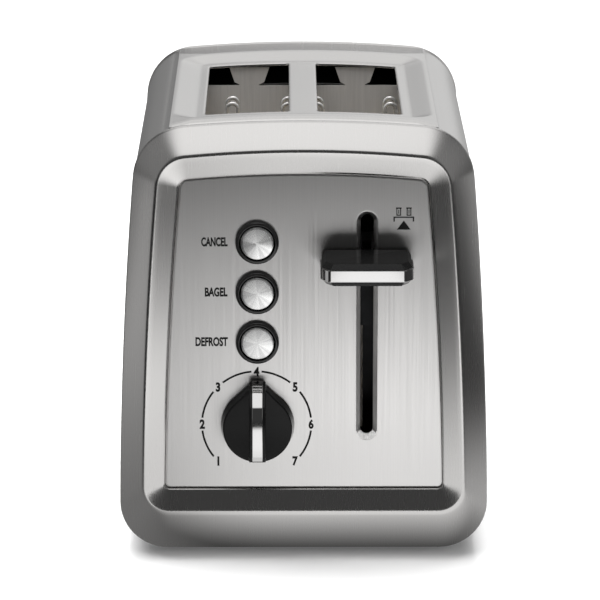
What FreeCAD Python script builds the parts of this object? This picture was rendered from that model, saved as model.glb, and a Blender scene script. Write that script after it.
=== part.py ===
import FreeCAD, Part
import math
import os

# Two-slot pop-up toaster. Millimetres, +Z up, front face towards -Y, width along X.
# Origin: under the middle of the whole object, on the surface that the feet stand on.

V = FreeCAD.Vector
os.makedirs("parts", exist_ok=True)

# ---- driving dimensions ---------------------------------------------------------------
# Closed outlines across the toaster, in the XZ plane. Each one has slightly bulged sides
# (radius side_r, widest at the ground), an arched top (radius top_r) and a flat bottom.
OUTER = dict(half=84.5, side_r=2140.0, bottom=3.0, top=203.5, top_r=650.0, low_r=22.0, high_r=25.0)
RIDGE = dict(half=73.7, side_r=2060.0, bottom=23.6, top=192.3, top_r=550.0, low_r=12.0, high_r=14.0)
PANEL = dict(half=63.9, side_r=1972.0, bottom=34.0, top=181.3, top_r=550.0, low_r=2.5, high_r=4.5)

FRONT_JOINT = -83.0       # where the front bezel meets the wrap
REAR_JOINT = 110.0        # where the rear bezel meets the wrap
BEZEL_RIM = 2.0           # straight rim of a bezel beside the joint
BEZEL_DEPTH = 15.0        # joint to ridge
BAND_DROP = 3.5           # ridge to the inner edge of the bezel's inner band
PANEL_SETBACK = 5.0       # ridge to panel face
BEZEL_WALL = 1.8
WRAP_WALL = 1.0
WRAP_STEP = 0.6           # the wrap lies this much inside the bezel's rim
SEAM = 0.2                # gap left at each visible joint
PANEL_THICK = 1.5
PANEL_FIT = 0.25          # gap round the panel in its opening

PANEL_FACE = FRONT_JOINT - BEZEL_DEPTH + PANEL_SETBACK      # -93
REAR_FACE = REAR_JOINT + BEZEL_DEPTH - PANEL_SETBACK        # 120

# Recessed top and bread slots
RECESS_HALF = 59.0
RECESS_FRONT = -64.5
RECESS_REAR = 89.0
RECESS_DEPTH = 3.0
BEVEL = 9.5
SLOT_IN = 6.7             # slot edges measured from the centre plane
SLOT_OUT = 45.0
SLOT_FRONT = -45.0
SLOT_REAR = 73.0
SLOT_MID = (SLOT_IN + SLOT_OUT) / 2
SLOT_CORNER = 2.0

# Control panel layout
CONTROL_X = -21.0         # buttons and dial share one upright line
BUTTON_Z = {"cancel": 149.6, "bagel": 126.3, "defrost": 103.1}
RING_R = 9.8
RING_BORE = 7.8
RING_PROUD = 3.2
RING_NECK = 8.9
CAP_R = 7.45
BUTTON_TRAVEL = 2.5
DIAL_Z = 64.3
KNOB_R = 16.7             # skirt radius beside the panel
KNOB_TIP = 21.2           # pointer tip from the knob's axis
KNOB_DRAFT = 1.1          # how much smaller the skirt is at its front
KNOB_GAP = 1.0
KNOB_SKIRT = 7.5
GRIP_W = 6.6
GRIP_H = 12.7             # grip ridge above the skirt
INSERT_W = 4.7
SHAFT_R = 3.0

SLOT_X = 28.6
LEVER_X = 28.1            # middle of the lever bar
LEVER_Z = 141.4           # middle of the lever bar at rest
LEVER_W = 40.4
LEVER_H = 10.1
LEVER_GAP = 1.5
LEVER_FRONT = -125.0
SLOT_W = 9.2              # lever slot, over its sloped lip
SLOT_THROAT = 5.8
LEVER_SLOT_LOW = 57.2
LEVER_SLOT_HIGH = 163.5
LIP_DEPTH = 3.0
DOWN = 76.0               # carriage travel below rest
LIFT = 15.0               # carriage travel above rest

# Inside
FLOOR_TOP = 6.0           # top of the base frame's floor
WRAP_BOTTOM = 14.0
PLATE_FRONT = -53.0       # chamber end plates, outer faces of 1 mm sheet
PLATE_REAR = 74.0
PLATE_T = 1.0
PLATE_TOP = 188.6
PLATE_HALF = 56.0
BOARD_X = 50.0
BOARD_T = 1.0
RACK_TOP = 116.0
ROD_R = 2.5
ROD_X = (18.0, 40.0)
ROD_Y = -67.0
RUN_GAP = 0.06            # radial running clearance
GUARD_WIRE = 0.9
PIVOT_R = 1.1
PIVOT_Z = 30.0

# Carriage
SLIDER_FRONT = ROD_Y - 5.0
BRACKET_Y = ROD_Y + 8.0   # front face of the carriage's sheet bracket
BRACKET_T = 1.5
SPRING_X = 6.0
MAGNET_X = 54.0


# ---- small helpers ---------------------------------------------------------------------
def box(x0, x1, y0, y1, z0, z1):
    return Part.makeBox(x1 - x0, y1 - y0, z1 - z0, V(x0, y0, z0))


def rod_y(x, z, r, y0, y1):
    return Part.makeCylinder(r, y1 - y0, V(x, y0, z), V(0, 1, 0))


def rod_z(x, y, r, z0, z1):
    return Part.makeCylinder(r, z1 - z0, V(x, y, z0), V(0, 0, 1))


def fuse(shapes):
    return shapes[0].multiFuse(shapes[1:]).removeSplitter() if len(shapes) > 1 else shapes[0]


def arc(a, b, c):
    return Part.Arc(a, b, c).toShape()


def polygon(points):
    return Part.makePolygon(points + [points[0]])


def prism(wire, direction):
    return Part.Face(wire).extrude(direction)


def save(name, shape):
    solids = shape.Solids
    good = all(s.isValid() for s in solids)
    print(f"{name:24s} solids {len(solids):2d}  volume {shape.Volume:10.1f}  valid {good}")
    if len(solids) == 1:
        shape = solids[0]
    shape.exportStep(f"parts/{name}.step")


# ---- outlines ----------------------------------------------------------------------------
def inset(outline, d):
    """The same outline moved inwards by d (outwards when d is negative)."""
    grown = dict(outline)
    for key in ("half", "side_r", "top", "top_r", "low_r", "high_r"):
        grown[key] = outline[key] - d
    grown["bottom"] = outline["bottom"] + d
    return grown


def unit(x, z):
    length = math.hypot(x, z)
    return x / length, z / length


def outline_wire(o, y):
    """Closed wire in the plane y: bottom line, corner, side, corner, arched top, and back."""
    side_x = o["half"] - o["side_r"]
    side_z = 0.0
    top_z = o["top"] - o["top_r"]

    # lower corner: tangent to the bottom line and to the side arc
    low_z = o["bottom"] + o["low_r"]
    reach = o["side_r"] - o["low_r"]
    low_x = side_x + math.sqrt(reach ** 2 - (low_z - side_z) ** 2)
    low_u = unit(low_x - side_x, low_z - side_z)
    low_m = unit(low_u[0], low_u[1] - 1)
    low_start = (low_x, o["bottom"])
    low_mid = (low_x + o["low_r"] * low_m[0], low_z + o["low_r"] * low_m[1])
    low_end = (side_x + o["side_r"] * low_u[0], side_z + o["side_r"] * low_u[1])

    # upper corner: tangent to the side arc and to the top arc
    to_side = o["side_r"] - o["high_r"]
    to_top = o["top_r"] - o["high_r"]
    gap = math.hypot(side_x, side_z - top_z)
    along = (to_top ** 2 - to_side ** 2 + gap ** 2) / (2 * gap)
    across = math.sqrt(to_top ** 2 - along ** 2)
    gx, gz = unit(side_x, side_z - top_z)
    high_x = along * gx - across * gz
    high_z = top_z + along * gz + across * gx
    if high_x < 0 or high_z < o["bottom"]:
        high_x = along * gx + across * gz
        high_z = top_z + along * gz - across * gx
    side_u = unit(high_x - side_x, high_z - side_z)
    top_u = unit(high_x, high_z - top_z)
    high_m = unit(side_u[0] + top_u[0], side_u[1] + top_u[1])
    high_start = (side_x + o["side_r"] * side_u[0], side_z + o["side_r"] * side_u[1])
    high_mid = (high_x + o["high_r"] * high_m[0], high_z + o["high_r"] * high_m[1])
    high_end = (o["top_r"] * top_u[0], top_z + o["top_r"] * top_u[1])

    mean = ((low_u[0] + side_u[0]) / 2, (low_u[1] + side_u[1]) / 2)
    mid_u = unit(*mean)
    side_mid = (side_x + o["side_r"] * mid_u[0], side_z + o["side_r"] * mid_u[1])

    def right(p):
        return V(p[0], y, p[1])

    def left(p):
        return V(-p[0], y, p[1])

    edges = [
        Part.LineSegment(left(low_start), right(low_start)).toShape(),
        arc(right(low_start), right(low_mid), right(low_end)),
        arc(right(low_end), right(side_mid), right(high_start)),
        arc(right(high_start), right(high_mid), right(high_end)),
        arc(right(high_end), V(0, y, o["top"]), left(high_end)),
        arc(left(high_end), left(high_mid), left(high_start)),
        arc(left(high_start), left(side_mid), left(low_end)),
        arc(left(low_end), left(low_mid), left(low_start)),
    ]
    return Part.Wire(edges)


def outline_prism(o, y0, y1):
    return prism(outline_wire(o, y0), V(0, y1 - y0, 0))


def outline_loft(sections):
    """Straight-sided solid through (outline, y) sections."""
    wires = [outline_wire(o, y) for o, y in sections]
    return Part.makeLoft(wires, True, True)


def stadium(x, z0, z1, width, y):
    """Upright slot outline with round ends, from z0 to z1 over all."""
    r = width / 2
    low = z0 + r
    high = z1 - r
    edges = [
        Part.LineSegment(V(x + r, y, low), V(x + r, y, high)).toShape(),
        arc(V(x + r, y, high), V(x, y, z1), V(x - r, y, high)),
        Part.LineSegment(V(x - r, y, high), V(x - r, y, low)).toShape(),
        arc(V(x - r, y, low), V(x, y, z0), V(x + r, y, low)),
    ]
    return Part.Wire(edges)


def stadium_prism(x, z0, z1, width, y0, y1):
    return prism(stadium(x, z0, z1, width, y0), V(0, y1 - y0, 0))


def arch_z(x):
    """Height of the toaster's arched top at x."""
    return OUTER["top"] - OUTER["top_r"] + math.sqrt(OUTER["top_r"] ** 2 - x ** 2)


def round_slot(x0, x1, y0, y1, z0, z1, r):
    block = box(x0, x1, y0, y1, z0, z1)
    uprights = [e for e in block.Edges if abs(e.Vertexes[0].X - e.Vertexes[1].X) < 1e-6
                and abs(e.Vertexes[0].Y - e.Vertexes[1].Y) < 1e-6]
    return block.makeFillet(r, uprights)


# ---- bezels --------------------------------------------------------------------------------
def bezel(joint, out):
    """Picture-frame ring. out is -1 towards the front and +1 towards the rear."""
    def at(depth):
        return joint + out * depth

    skin = 2.4            # how far the inner band's back lies behind its face
    block = outline_loft([(OUTER, at(0)), (OUTER, at(BEZEL_RIM)), (RIDGE, at(BEZEL_DEPTH))])
    front_hollow = outline_loft([
        (inset(RIDGE, 0.4), at(BEZEL_DEPTH + 0.01)),
        (PANEL, at(BEZEL_DEPTH - BAND_DROP)),
    ])
    back_hollow = outline_loft([
        (inset(OUTER, BEZEL_WALL), at(-1)),
        (inset(OUTER, BEZEL_WALL), at(BEZEL_RIM)),
        (inset(RIDGE, 0.8), at(BEZEL_DEPTH - skin - 0.2)),
    ])
    inner_band = outline_loft([
        (inset(RIDGE, -2.0), at(BEZEL_DEPTH - skin + 1.0)),
        (PANEL, at(BEZEL_DEPTH - PANEL_SETBACK - skin)),
    ])
    opening = outline_prism(PANEL, at(-2), at(BEZEL_DEPTH + 2))
    return block.cut([front_hollow, back_hollow.cut(inner_band), opening])


def make_front_bezel():
    save("front_bezel", bezel(FRONT_JOINT, -1))


def make_rear_bezel():
    shell = bezel(REAR_JOINT, 1)
    tray_mouth = box(-48.5, 48.5, REAR_JOINT - 1, REAR_FACE + 6, 6.0, 14.0)
    save("rear_bezel", shell.cut(tray_mouth))


# ---- wrap ----------------------------------------------------------------------------------
def recess(grow, extra_depth):
    """Shallow bevelled tray sunk into the arched top, through four cross sections."""
    half = RECESS_HALF + grow
    high = OUTER["top"] + 12
    sliver = 0.05         # bevel width left at the ends, so that every section has one

    def section(y, edge, floor_half, depth):
        edge_z = arch_z(edge) + 0.02 - extra_depth
        floor_z = arch_z(floor_half) - depth - extra_depth
        mid_z = arch_z(0) - depth - extra_depth
        edges = [
            Part.LineSegment(V(-edge, y, high), V(-edge, y, edge_z)).toShape(),
            Part.LineSegment(V(-edge, y, edge_z), V(-floor_half, y, floor_z)).toShape(),
            arc(V(-floor_half, y, floor_z), V(0, y, mid_z), V(floor_half, y, floor_z)),
            Part.LineSegment(V(floor_half, y, floor_z), V(edge, y, edge_z)).toShape(),
            Part.LineSegment(V(edge, y, edge_z), V(edge, y, high)).toShape(),
            Part.LineSegment(V(edge, y, high), V(-edge, y, high)).toShape(),
        ]
        return Part.Wire(edges)

    wires = [
        section(RECESS_FRONT - grow, half, half - sliver, -0.02),
        section(RECESS_FRONT + BEVEL, half, half - BEVEL, RECESS_DEPTH),
        section(RECESS_REAR - BEVEL, half, half - BEVEL, RECESS_DEPTH),
        section(RECESS_REAR + grow, half, half - sliver, -0.02),
    ]
    return Part.makeLoft(wires, True, True)


def make_wrap():
    y0 = FRONT_JOINT + SEAM
    y1 = REAR_JOINT - SEAM
    skin = inset(OUTER, WRAP_STEP)
    outside = outline_prism(skin, y0, y1)
    inside = outline_prism(inset(skin, WRAP_WALL), y0 - 1, y1 + 1)
    below = box(-100, 100, y0 - 1, y1 + 1, -1, WRAP_BOTTOM)
    cavity = inside.cut(recess(0.8, WRAP_WALL))
    wrap = outside.cut([cavity, recess(0.0, WRAP_STEP), below])
    floor = OUTER["top"] - RECESS_DEPTH - WRAP_STEP
    holes = []
    for side in (-1, 1):
        x0, x1 = sorted((side * SLOT_IN, side * SLOT_OUT))
        holes.append(round_slot(x0, x1, SLOT_FRONT, SLOT_REAR, floor - 10, floor + 6, SLOT_CORNER))
    save("body_wrap", wrap.cut(holes))


# ---- base and feet ----------------------------------------------------------------------------
FOOT_XY = [(x, y) for x in (-57, 57) for y in (-67, 100)]
SCREW_XY = [(x, y) for x in (-52, 52) for y in (PLATE_FRONT - 4, PLATE_REAR + 7)]


def make_base():
    y0 = FRONT_JOINT + SEAM
    y1 = REAR_JOINT - SEAM
    o = inset(OUTER, 0.0)
    tub = outline_prism(inset(o, WRAP_STEP), y0, y1)
    tub = tub.common(box(-100, 100, y0 - 1, y1 + 1, 0, WRAP_BOTTOM - SEAM))
    hollow = outline_prism(inset(o, 3.0), y0 - 1, y1 + 1)
    hollow = hollow.common(box(-100, 100, y0 - 2, y1 + 2, FLOOR_TOP, 60))
    tub = tub.cut(hollow)
    bosses = [rod_z(x, ROD_Y, 5.0, FLOOR_TOP - 1, 14) for x in ROD_X]
    tub = fuse([tub] + bosses)
    holes = [rod_z(x, ROD_Y, ROD_R, 4.5, 20) for x in ROD_X]
    for x, y in SCREW_XY:
        holes.append(rod_z(x, y, 3.2, 2, 5.0))
        holes.append(rod_z(x, y, 1.6, 4, 8))
    for x, y in FOOT_XY:
        holes.append(rod_z(x, y, 3.6, 2, 8))
    vents = [round_slot(x - 22, x + 22, y - 2, y + 2, 2, 8, 1.9)
             for x in (-26, 26) for y in range(-37, 64, 12)]
    save("base_frame", tub.cut(holes + vents))


def make_feet():
    feet = []
    for x, y in FOOT_XY:
        pad = Part.makeCone(7.5, 8.0, 3.0, V(x, y, 0))
        spigot = rod_z(x, y, 3.4, 2.5, FLOOR_TOP - 0.2)
        feet.append(fuse([pad, spigot]))
    save("feet", Part.makeCompound(feet))


def make_base_screws():
    screws = []
    for x, y in SCREW_XY:
        head = rod_z(x, y, 3.0, 3.2, 5.0)
        cross = box(x - 2, x + 2, y - 0.4, y + 0.4, 3.0, 4.0)
        shank = rod_z(x, y, 1.45, 4.9, 10.0)
        screws.append(fuse([head, shank]).cut(cross))
    save("base_screws", Part.makeCompound(screws))


# ---- control panel and carrier ------------------------------------------------------------------
def make_control_panel():
    back = PANEL_FACE + PANEL_THICK
    plate = outline_prism(inset(PANEL, PANEL_FIT), PANEL_FACE, back)
    funnel = stadium_prism(SLOT_X, LEVER_SLOT_LOW - 0.8, LEVER_SLOT_HIGH + 0.8, SLOT_W + 1.6,
                           PANEL_FACE + 0.5, PANEL_FACE + LIP_DEPTH)
    taper = (SLOT_W - SLOT_THROAT) / 2      # the lip slopes in at 45 degrees, then runs straight
    low = LEVER_SLOT_LOW + taper
    high = LEVER_SLOT_HIGH - taper
    mouth = Part.makeLoft([
        stadium(SLOT_X, LEVER_SLOT_LOW, LEVER_SLOT_HIGH, SLOT_W, PANEL_FACE - 0.01),
        stadium(SLOT_X, low, high, SLOT_THROAT, PANEL_FACE + taper),
    ], True, True)
    throat = stadium_prism(SLOT_X, low, high, SLOT_THROAT, PANEL_FACE - 1, PANEL_FACE + LIP_DEPTH + 1)
    holes = [mouth, throat]
    for z in BUTTON_Z.values():
        holes.append(rod_y(CONTROL_X, z, RING_NECK + 0.2, PANEL_FACE - 1, back + 1))
    holes.append(rod_y(CONTROL_X, DIAL_Z, 4.5, PANEL_FACE - 1, back + 1))
    save("control_panel", fuse([plate, funnel]).cut(holes))


BOARD_FRONT = -77.0
BOARD_THICK = 1.6
POST_XZ = [(x, z) for x in (-42.0, 0.0) for z in (52.0, 160.0)]


def make_panel_carrier():
    front = PANEL_FACE + PANEL_THICK + 0.1
    back = front + 2.0
    # it lies behind the bezel's inner band and closes the panel opening
    plate = outline_prism(inset(PANEL, 0.6), front, back)
    posts = [rod_y(x, z, 3.2, back - 0.5, BOARD_FRONT) for x, z in POST_XZ]
    holes = [stadium_prism(SLOT_X, LEVER_SLOT_LOW - 1.2, LEVER_SLOT_HIGH + 1.2, SLOT_W + 2.4,
                           front - 1, back + 1)]
    for z in BUTTON_Z.values():
        holes.append(rod_y(CONTROL_X, z, RING_NECK + 0.2, front - 1, back + 1))
    holes.append(rod_y(CONTROL_X, DIAL_Z, 4.5, front - 1, back + 1))
    holes += [rod_y(x, z, 1.3, BOARD_FRONT - 8, BOARD_FRONT + 1) for x, z in POST_XZ]
    save("panel_carrier", fuse([plate] + posts).cut(holes))


def make_circuit_board():
    x0, x1, z0, z1 = -47.0, 5.0, 46.0, 166.0
    board = box(x0, x1, BOARD_FRONT, BOARD_FRONT + BOARD_THICK, z0, z1)
    holes = [rod_y(x, z, 1.6, BOARD_FRONT - 1, BOARD_FRONT + 3) for x, z in POST_XZ]
    save("circuit_board", board.cut(holes))

    screws = []
    for x, z in POST_XZ:
        head_y = BOARD_FRONT + BOARD_THICK
        head = rod_y(x, z, 2.6, head_y, head_y + 1.8)
        shank = rod_y(x, z, 1.15, head_y - 6, head_y + 0.2)
        cross = box(x - 1.7, x + 1.7, head_y + 1, head_y + 3, z - 0.35, z + 0.35)
        screws.append(fuse([head, shank]).cut(cross))
    save("pcb_screws", Part.makeCompound(screws))

    relay = box(-42, -26, BOARD_FRONT + BOARD_THICK, BOARD_FRONT + BOARD_THICK + 11, 64, 84)
    relay = relay.makeFillet(1.0, relay.Edges)
    save("power_relay", relay)

    switches = []
    for z in BUTTON_Z.values():
        body = box(CONTROL_X - 3, CONTROL_X + 3, BOARD_FRONT - 3.4, BOARD_FRONT, z - 3, z + 3)
        nub = rod_y(CONTROL_X, z, 1.7, BOARD_FRONT - 4.2, BOARD_FRONT - 3.3)
        switches.append(fuse([body, nub]))
    save("button_switches", Part.makeCompound(switches))

    pot = box(CONTROL_X - 9, CONTROL_X + 9, BOARD_FRONT - 8, BOARD_FRONT, DIAL_Z - 9, DIAL_Z + 9)
    bush = rod_y(CONTROL_X, DIAL_Z, 4.2, BOARD_FRONT - 13, BOARD_FRONT - 7.5)
    bore = rod_y(CONTROL_X, DIAL_Z, SHAFT_R + RUN_GAP, BOARD_FRONT - 14, BOARD_FRONT - 2)
    save("shade_potentiometer", fuse([pot, bush]).cut(bore))


def make_buttons():
    ring_front = PANEL_FACE - RING_PROUD
    for name, z in BUTTON_Z.items():
        flange = rod_y(CONTROL_X, z, RING_R, ring_front, PANEL_FACE)
        flange = flange.makeFillet(1.1, [e for e in flange.Edges
                                         if abs(e.BoundBox.YMax - ring_front) < 0.01])
        neck = rod_y(CONTROL_X, z, RING_NECK, PANEL_FACE - 0.5, PANEL_FACE + 6)
        bore = rod_y(CONTROL_X, z, RING_BORE, ring_front - 1, PANEL_FACE + 7)
        save(f"{name}_ring", fuse([flange, neck]).cut(bore))

        face = ring_front - 0.4
        disc = rod_y(CONTROL_X, z, CAP_R, face + 0.4, face + 2.2)
        dome_r = 60.0
        dome = Part.makeSphere(dome_r, V(CONTROL_X, face + dome_r, z))
        disc = rod_y(CONTROL_X, z, CAP_R, face, face + 2.2).common(dome)
        save(f"{name}_cap", disc)

        guide = rod_y(CONTROL_X, z, 7.3, face + 2.2, PANEL_FACE + 5)
        tip = rod_y(CONTROL_X, z, 3.0, PANEL_FACE + 4.5, BOARD_FRONT - 4.2 - BUTTON_TRAVEL - 0.2)
        save(f"{name}_plunger", fuse([guide, tip]))


def pointer_outline(r, tip, y):
    """Knob outline: a circle that flares in hollow curves to a narrow nose towards +Z."""
    join_x = r / math.sqrt(2)             # the flare leaves the circle at 45 degrees
    join_z = math.sqrt(r ** 2 - join_x ** 2)
    nose_x = 3.5
    nose_z = tip - 0.9
    bow = 0.2                             # the flare is slightly hollow
    bow_x = (join_x + nose_x) / 2 - bow
    bow_z = (join_z + nose_z) / 2 - bow

    def at(px, pz):
        return V(CONTROL_X + px, y, DIAL_Z + pz)

    return Part.Wire([
        arc(at(-join_x, join_z), at(0, -r), at(join_x, join_z)),
        arc(at(join_x, join_z), at(bow_x, bow_z), at(nose_x, nose_z)),
        arc(at(nose_x, nose_z), at(0, tip), at(-nose_x, nose_z)),
        arc(at(-nose_x, nose_z), at(-bow_x, bow_z), at(-join_x, join_z)),
    ])


def grip_profile(x, skirt_front, proud, bottom_trim):
    """Side view of the grip ridge: flat lower part, a bend, then a slope down to the nose."""
    crest = skirt_front - GRIP_H - proud
    low = -12.4 + bottom_trim
    lower = [V(x, skirt_front + 1.0, DIAL_Z - 14.8 + bottom_trim),
             V(x, crest + 1.5, DIAL_Z + low), V(x, crest, DIAL_Z + low + 2.2)]
    bend = [V(x, crest, DIAL_Z + 6.4), V(x, crest + 0.8, DIAL_Z + 10.3), V(x, crest + 3.1, DIAL_Z + 13.6)]
    upper = [V(x, skirt_front - 0.4 - proud, DIAL_Z + KNOB_TIP - 1.0),
             V(x, skirt_front + 1.0, DIAL_Z + KNOB_TIP - 0.8)]
    edges = [Part.LineSegment(lower[0], lower[1]).toShape(),
             Part.LineSegment(lower[1], lower[2]).toShape(),
             Part.LineSegment(lower[2], bend[0]).toShape(),
             arc(*bend),
             Part.LineSegment(bend[2], upper[0]).toShape(),
             Part.LineSegment(upper[0], upper[1]).toShape(),
             Part.LineSegment(upper[1], lower[0]).toShape()]
    return Part.Wire(edges)


def make_knob():
    rear = PANEL_FACE - KNOB_GAP
    front = rear - KNOB_SKIRT
    skirt = Part.makeLoft([pointer_outline(KNOB_R, KNOB_TIP, rear),
                           pointer_outline(KNOB_R - KNOB_DRAFT, KNOB_TIP - 0.5, front)], True, True)
    grip = prism(grip_profile(CONTROL_X - GRIP_W / 2, front, 0.0, 0.0), V(GRIP_W, 0, 0))
    outside = prism(grip_profile(CONTROL_X - INSERT_W / 2, front, 0.3, 0.4), V(INSERT_W, 0, 0))
    core = prism(grip_profile(CONTROL_X - INSERT_W / 2 - 1, front, -1.2, 1.8), V(INSERT_W + 2, 0, 0))
    buried = box(-60, 60, front - 0.2, front + 10, 0, 120)
    strip = outside.cut([core, buried])
    hollow = rod_y(CONTROL_X, DIAL_Z, KNOB_R - 3.5, front + 2.5, rear + 1)
    hub = rod_y(CONTROL_X, DIAL_Z, 5.0, front + 2, rear)
    bore = rod_y(CONTROL_X, DIAL_Z, SHAFT_R, front + 2, rear + 1)
    body = fuse([skirt.cut(hollow), grip, hub]).cut([strip, bore])
    save("knob_body", body)
    save("knob_insert", strip)
    save("knob_shaft", rod_y(CONTROL_X, DIAL_Z, SHAFT_R, front + 2, BOARD_FRONT - 2.5))


# ---- lever and carriage -------------------------------------------------------------------------
def lever_plan(half, y_rear, y_front, corner, z):
    """Lever outline seen from above: straight back, cut front corners."""
    side = 0.7 * corner
    return polygon([
        V(LEVER_X - half, y_rear, z), V(LEVER_X + half, y_rear, z),
        V(LEVER_X + half, y_front + corner, z), V(LEVER_X + half - side, y_front, z),
        V(LEVER_X - half + side, y_front, z), V(LEVER_X - half, y_front + corner, z),
    ])


def make_lever():
    rear = PANEL_FACE - LEVER_GAP
    half = LEVER_W / 2
    low = LEVER_Z - LEVER_H / 2
    high = LEVER_Z + LEVER_H / 2
    trim_low = LEVER_Z - 2.8
    trim_high = LEVER_Z + 2.8
    body_front = LEVER_FRONT + 0.8
    corner = 5.0
    core = prism(lever_plan(half, rear, body_front, corner, trim_low), V(0, 0, trim_high - trim_low))
    upper = Part.makeLoft([
        lever_plan(half, rear, body_front, corner, trim_high),
        lever_plan(half - 1.8, rear, body_front + 1.8, corner, high),
    ], True, True)
    lower = Part.makeLoft([
        lever_plan(half, rear, body_front, corner, trim_low),
        lever_plan(half - 1.8, rear, body_front + 1.8, corner, low),
    ], True, True)
    bar = fuse([core, upper, lower])

    outer_band = prism(lever_plan(half + 0.6, rear - 9, LEVER_FRONT, corner + 0.2, trim_low),
                       V(0, 0, trim_high - trim_low))
    groove_fill = prism(lever_plan(half - 0.5, rear - 5, body_front + 0.9, corner, trim_low - 1),
                        V(0, 0, trim_high - trim_low + 2))
    trim = outer_band.cut(groove_fill)
    trim = trim.cut(box(LEVER_X - 60, LEVER_X + 60, rear - 9.01, rear + 30, low - 5, high + 5))
    socket = box(SLOT_X - 1.9, SLOT_X + 1.9, rear - 12, rear + 1, LEVER_Z - 3.6, LEVER_Z + 3.6)
    save("lever_trim", trim)
    save("lever_knob", bar.cut([trim, socket]))

    arm = box(SLOT_X - 1.9, SLOT_X + 1.9, rear - 12, SLIDER_FRONT, LEVER_Z - 3.6, LEVER_Z + 3.6)
    save("lever_arm", arm)


def make_carriage():
    rest = RACK_TOP
    block = box(11, 47, SLIDER_FRONT, BRACKET_Y, LEVER_Z - 10, LEVER_Z + 8)
    uprights = [e for e in block.Edges if abs(e.BoundBox.ZLength - 18) < 0.01]
    block = block.makeFillet(2.0, uprights)
    bores = [rod_z(x, ROD_Y, ROD_R + RUN_GAP, 100, 190) for x in ROD_X]
    relief = box(SLOT_X - 4, SLOT_X + 4, SLIDER_FRONT + 3, BRACKET_Y + 1, LEVER_Z - 6, LEVER_Z + 9)
    save("carriage_slider", block.cut(bores + [relief]))

    back = BRACKET_Y + BRACKET_T
    bar = box(-31, 61, BRACKET_Y, back, rest - 14, rest - 2)
    riser = box(12, 46, BRACKET_Y, back, rest - 4, LEVER_Z + 6)
    hook = box(SPRING_X - 1.5, SPRING_X + 1.5, ROD_Y - 2, back - 0.2, rest - 14, rest - 12.4)
    save("carriage_bracket", fuse([bar, riser, hook]))

    plate = box(MAGNET_X - 7, MAGNET_X + 7, ROD_Y - 12, BRACKET_Y, rest - 11, rest - 8.4)
    edges = [e for e in plate.Edges if abs(e.BoundBox.ZLength - 2.6) < 0.01]
    save("armature", plate.makeFillet(1.5, edges))

    for name, side in (("left", -1), ("right", 1)):
        x = side * SLOT_MID
        spine = box(x - 0.6, x + 0.6, BRACKET_Y + BRACKET_T, PLATE_REAR + 5, rest - 10, rest - 1.5)
        teeth = []
        for i in range(9):
            y = PLATE_FRONT + 10 + i * 13.5
            tooth = box(x - 6.5, x + 6.5, y - 0.6, y + 0.6, rest - 5, rest)
            notch = Part.makeCylinder(5.0, 3, V(x, y - 1.5, rest + 3.6), V(0, 1, 0))
            teeth.append(tooth.cut(notch))
        save(f"bread_rack_{name}", fuse([spine] + teeth))


def make_guides():
    top = 178.0
    save("guide_rods", Part.makeCompound([rod_z(x, ROD_Y, ROD_R, 4.5, top) for x in ROD_X]))

    sheet = box(-2, 52, ROD_Y - 8, PLATE_FRONT, top - 3.2, top - 1.7)
    lip = box(-2, 52, PLATE_FRONT - 1.5, PLATE_FRONT, top - 16, top - 1.7)
    hook = box(SPRING_X - 1.5, SPRING_X + 1.5, ROD_Y - 0.8, ROD_Y + 0.8, top - 6.0, top - 3.0)
    holes = [rod_z(x, ROD_Y, ROD_R, top - 5, top) for x in ROD_X]
    save("rod_bracket", fuse([sheet, lip, hook]).cut(holes))

    # extension spring between the bracket's hook and the carriage's hook
    low = RACK_TOP - 12.4 + 0.3
    high = top - 6.0 - 0.3
    turns = 22
    wire_r = 0.45
    helix = Part.makeHelix((high - low - 2 * wire_r) / turns, high - low - 2 * wire_r, 2.6)
    start = Part.Wire([Part.makeCircle(wire_r, V(2.6, 0, 0), V(0, 1, 0.16))])
    coil = Part.Wire(helix.Edges).makePipeShell([start], True, True)
    coil.translate(V(SPRING_X, ROD_Y, low + wire_r))
    save("return_spring", coil)


def make_magnet():
    top = RACK_TOP - 11 - DOWN - 0.6
    y0, y1 = ROD_Y - 11.0, ROD_Y + 1.0
    back = box(MAGNET_X - 8, MAGNET_X + 8, y0, y1, FLOOR_TOP, FLOOR_TOP + 6)
    legs = [box(MAGNET_X + a, MAGNET_X + b, y0, y1, FLOOR_TOP + 5, top)
            for a, b in ((-8, -5.5), (-2, 2), (5.5, 8))]
    save("magnet_core", fuse([back] + legs))
    coil = box(MAGNET_X - 5, MAGNET_X + 5, y0 - 2.5, y1 + 2, FLOOR_TOP + 6.2, top - 3)
    hole = box(MAGNET_X - 2.1, MAGNET_X + 2.1, y0 - 0.1, y1 + 0.1, FLOOR_TOP, top)
    edges = [e for e in coil.Edges if abs(e.BoundBox.ZLength - (top - 3 - FLOOR_TOP - 6.2)) < 0.01]
    save("magnet_coil", coil.makeFillet(1.5, edges).cut(hole))


# ---- toasting chamber ----------------------------------------------------------------------------
GUARDS = {
    # name: (x at the pivot, x of the upright wires at their tops, side the hooks turn to)
    "left_outer": (-39.5, -31.0, -1),
    "left_inner": (-11.2, -9.6, 1),
    "right_inner": (11.2, 9.6, -1),
    "right_outer": (40.5, 39.4, 1),
}
GUARD_TOP = 186.0


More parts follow.
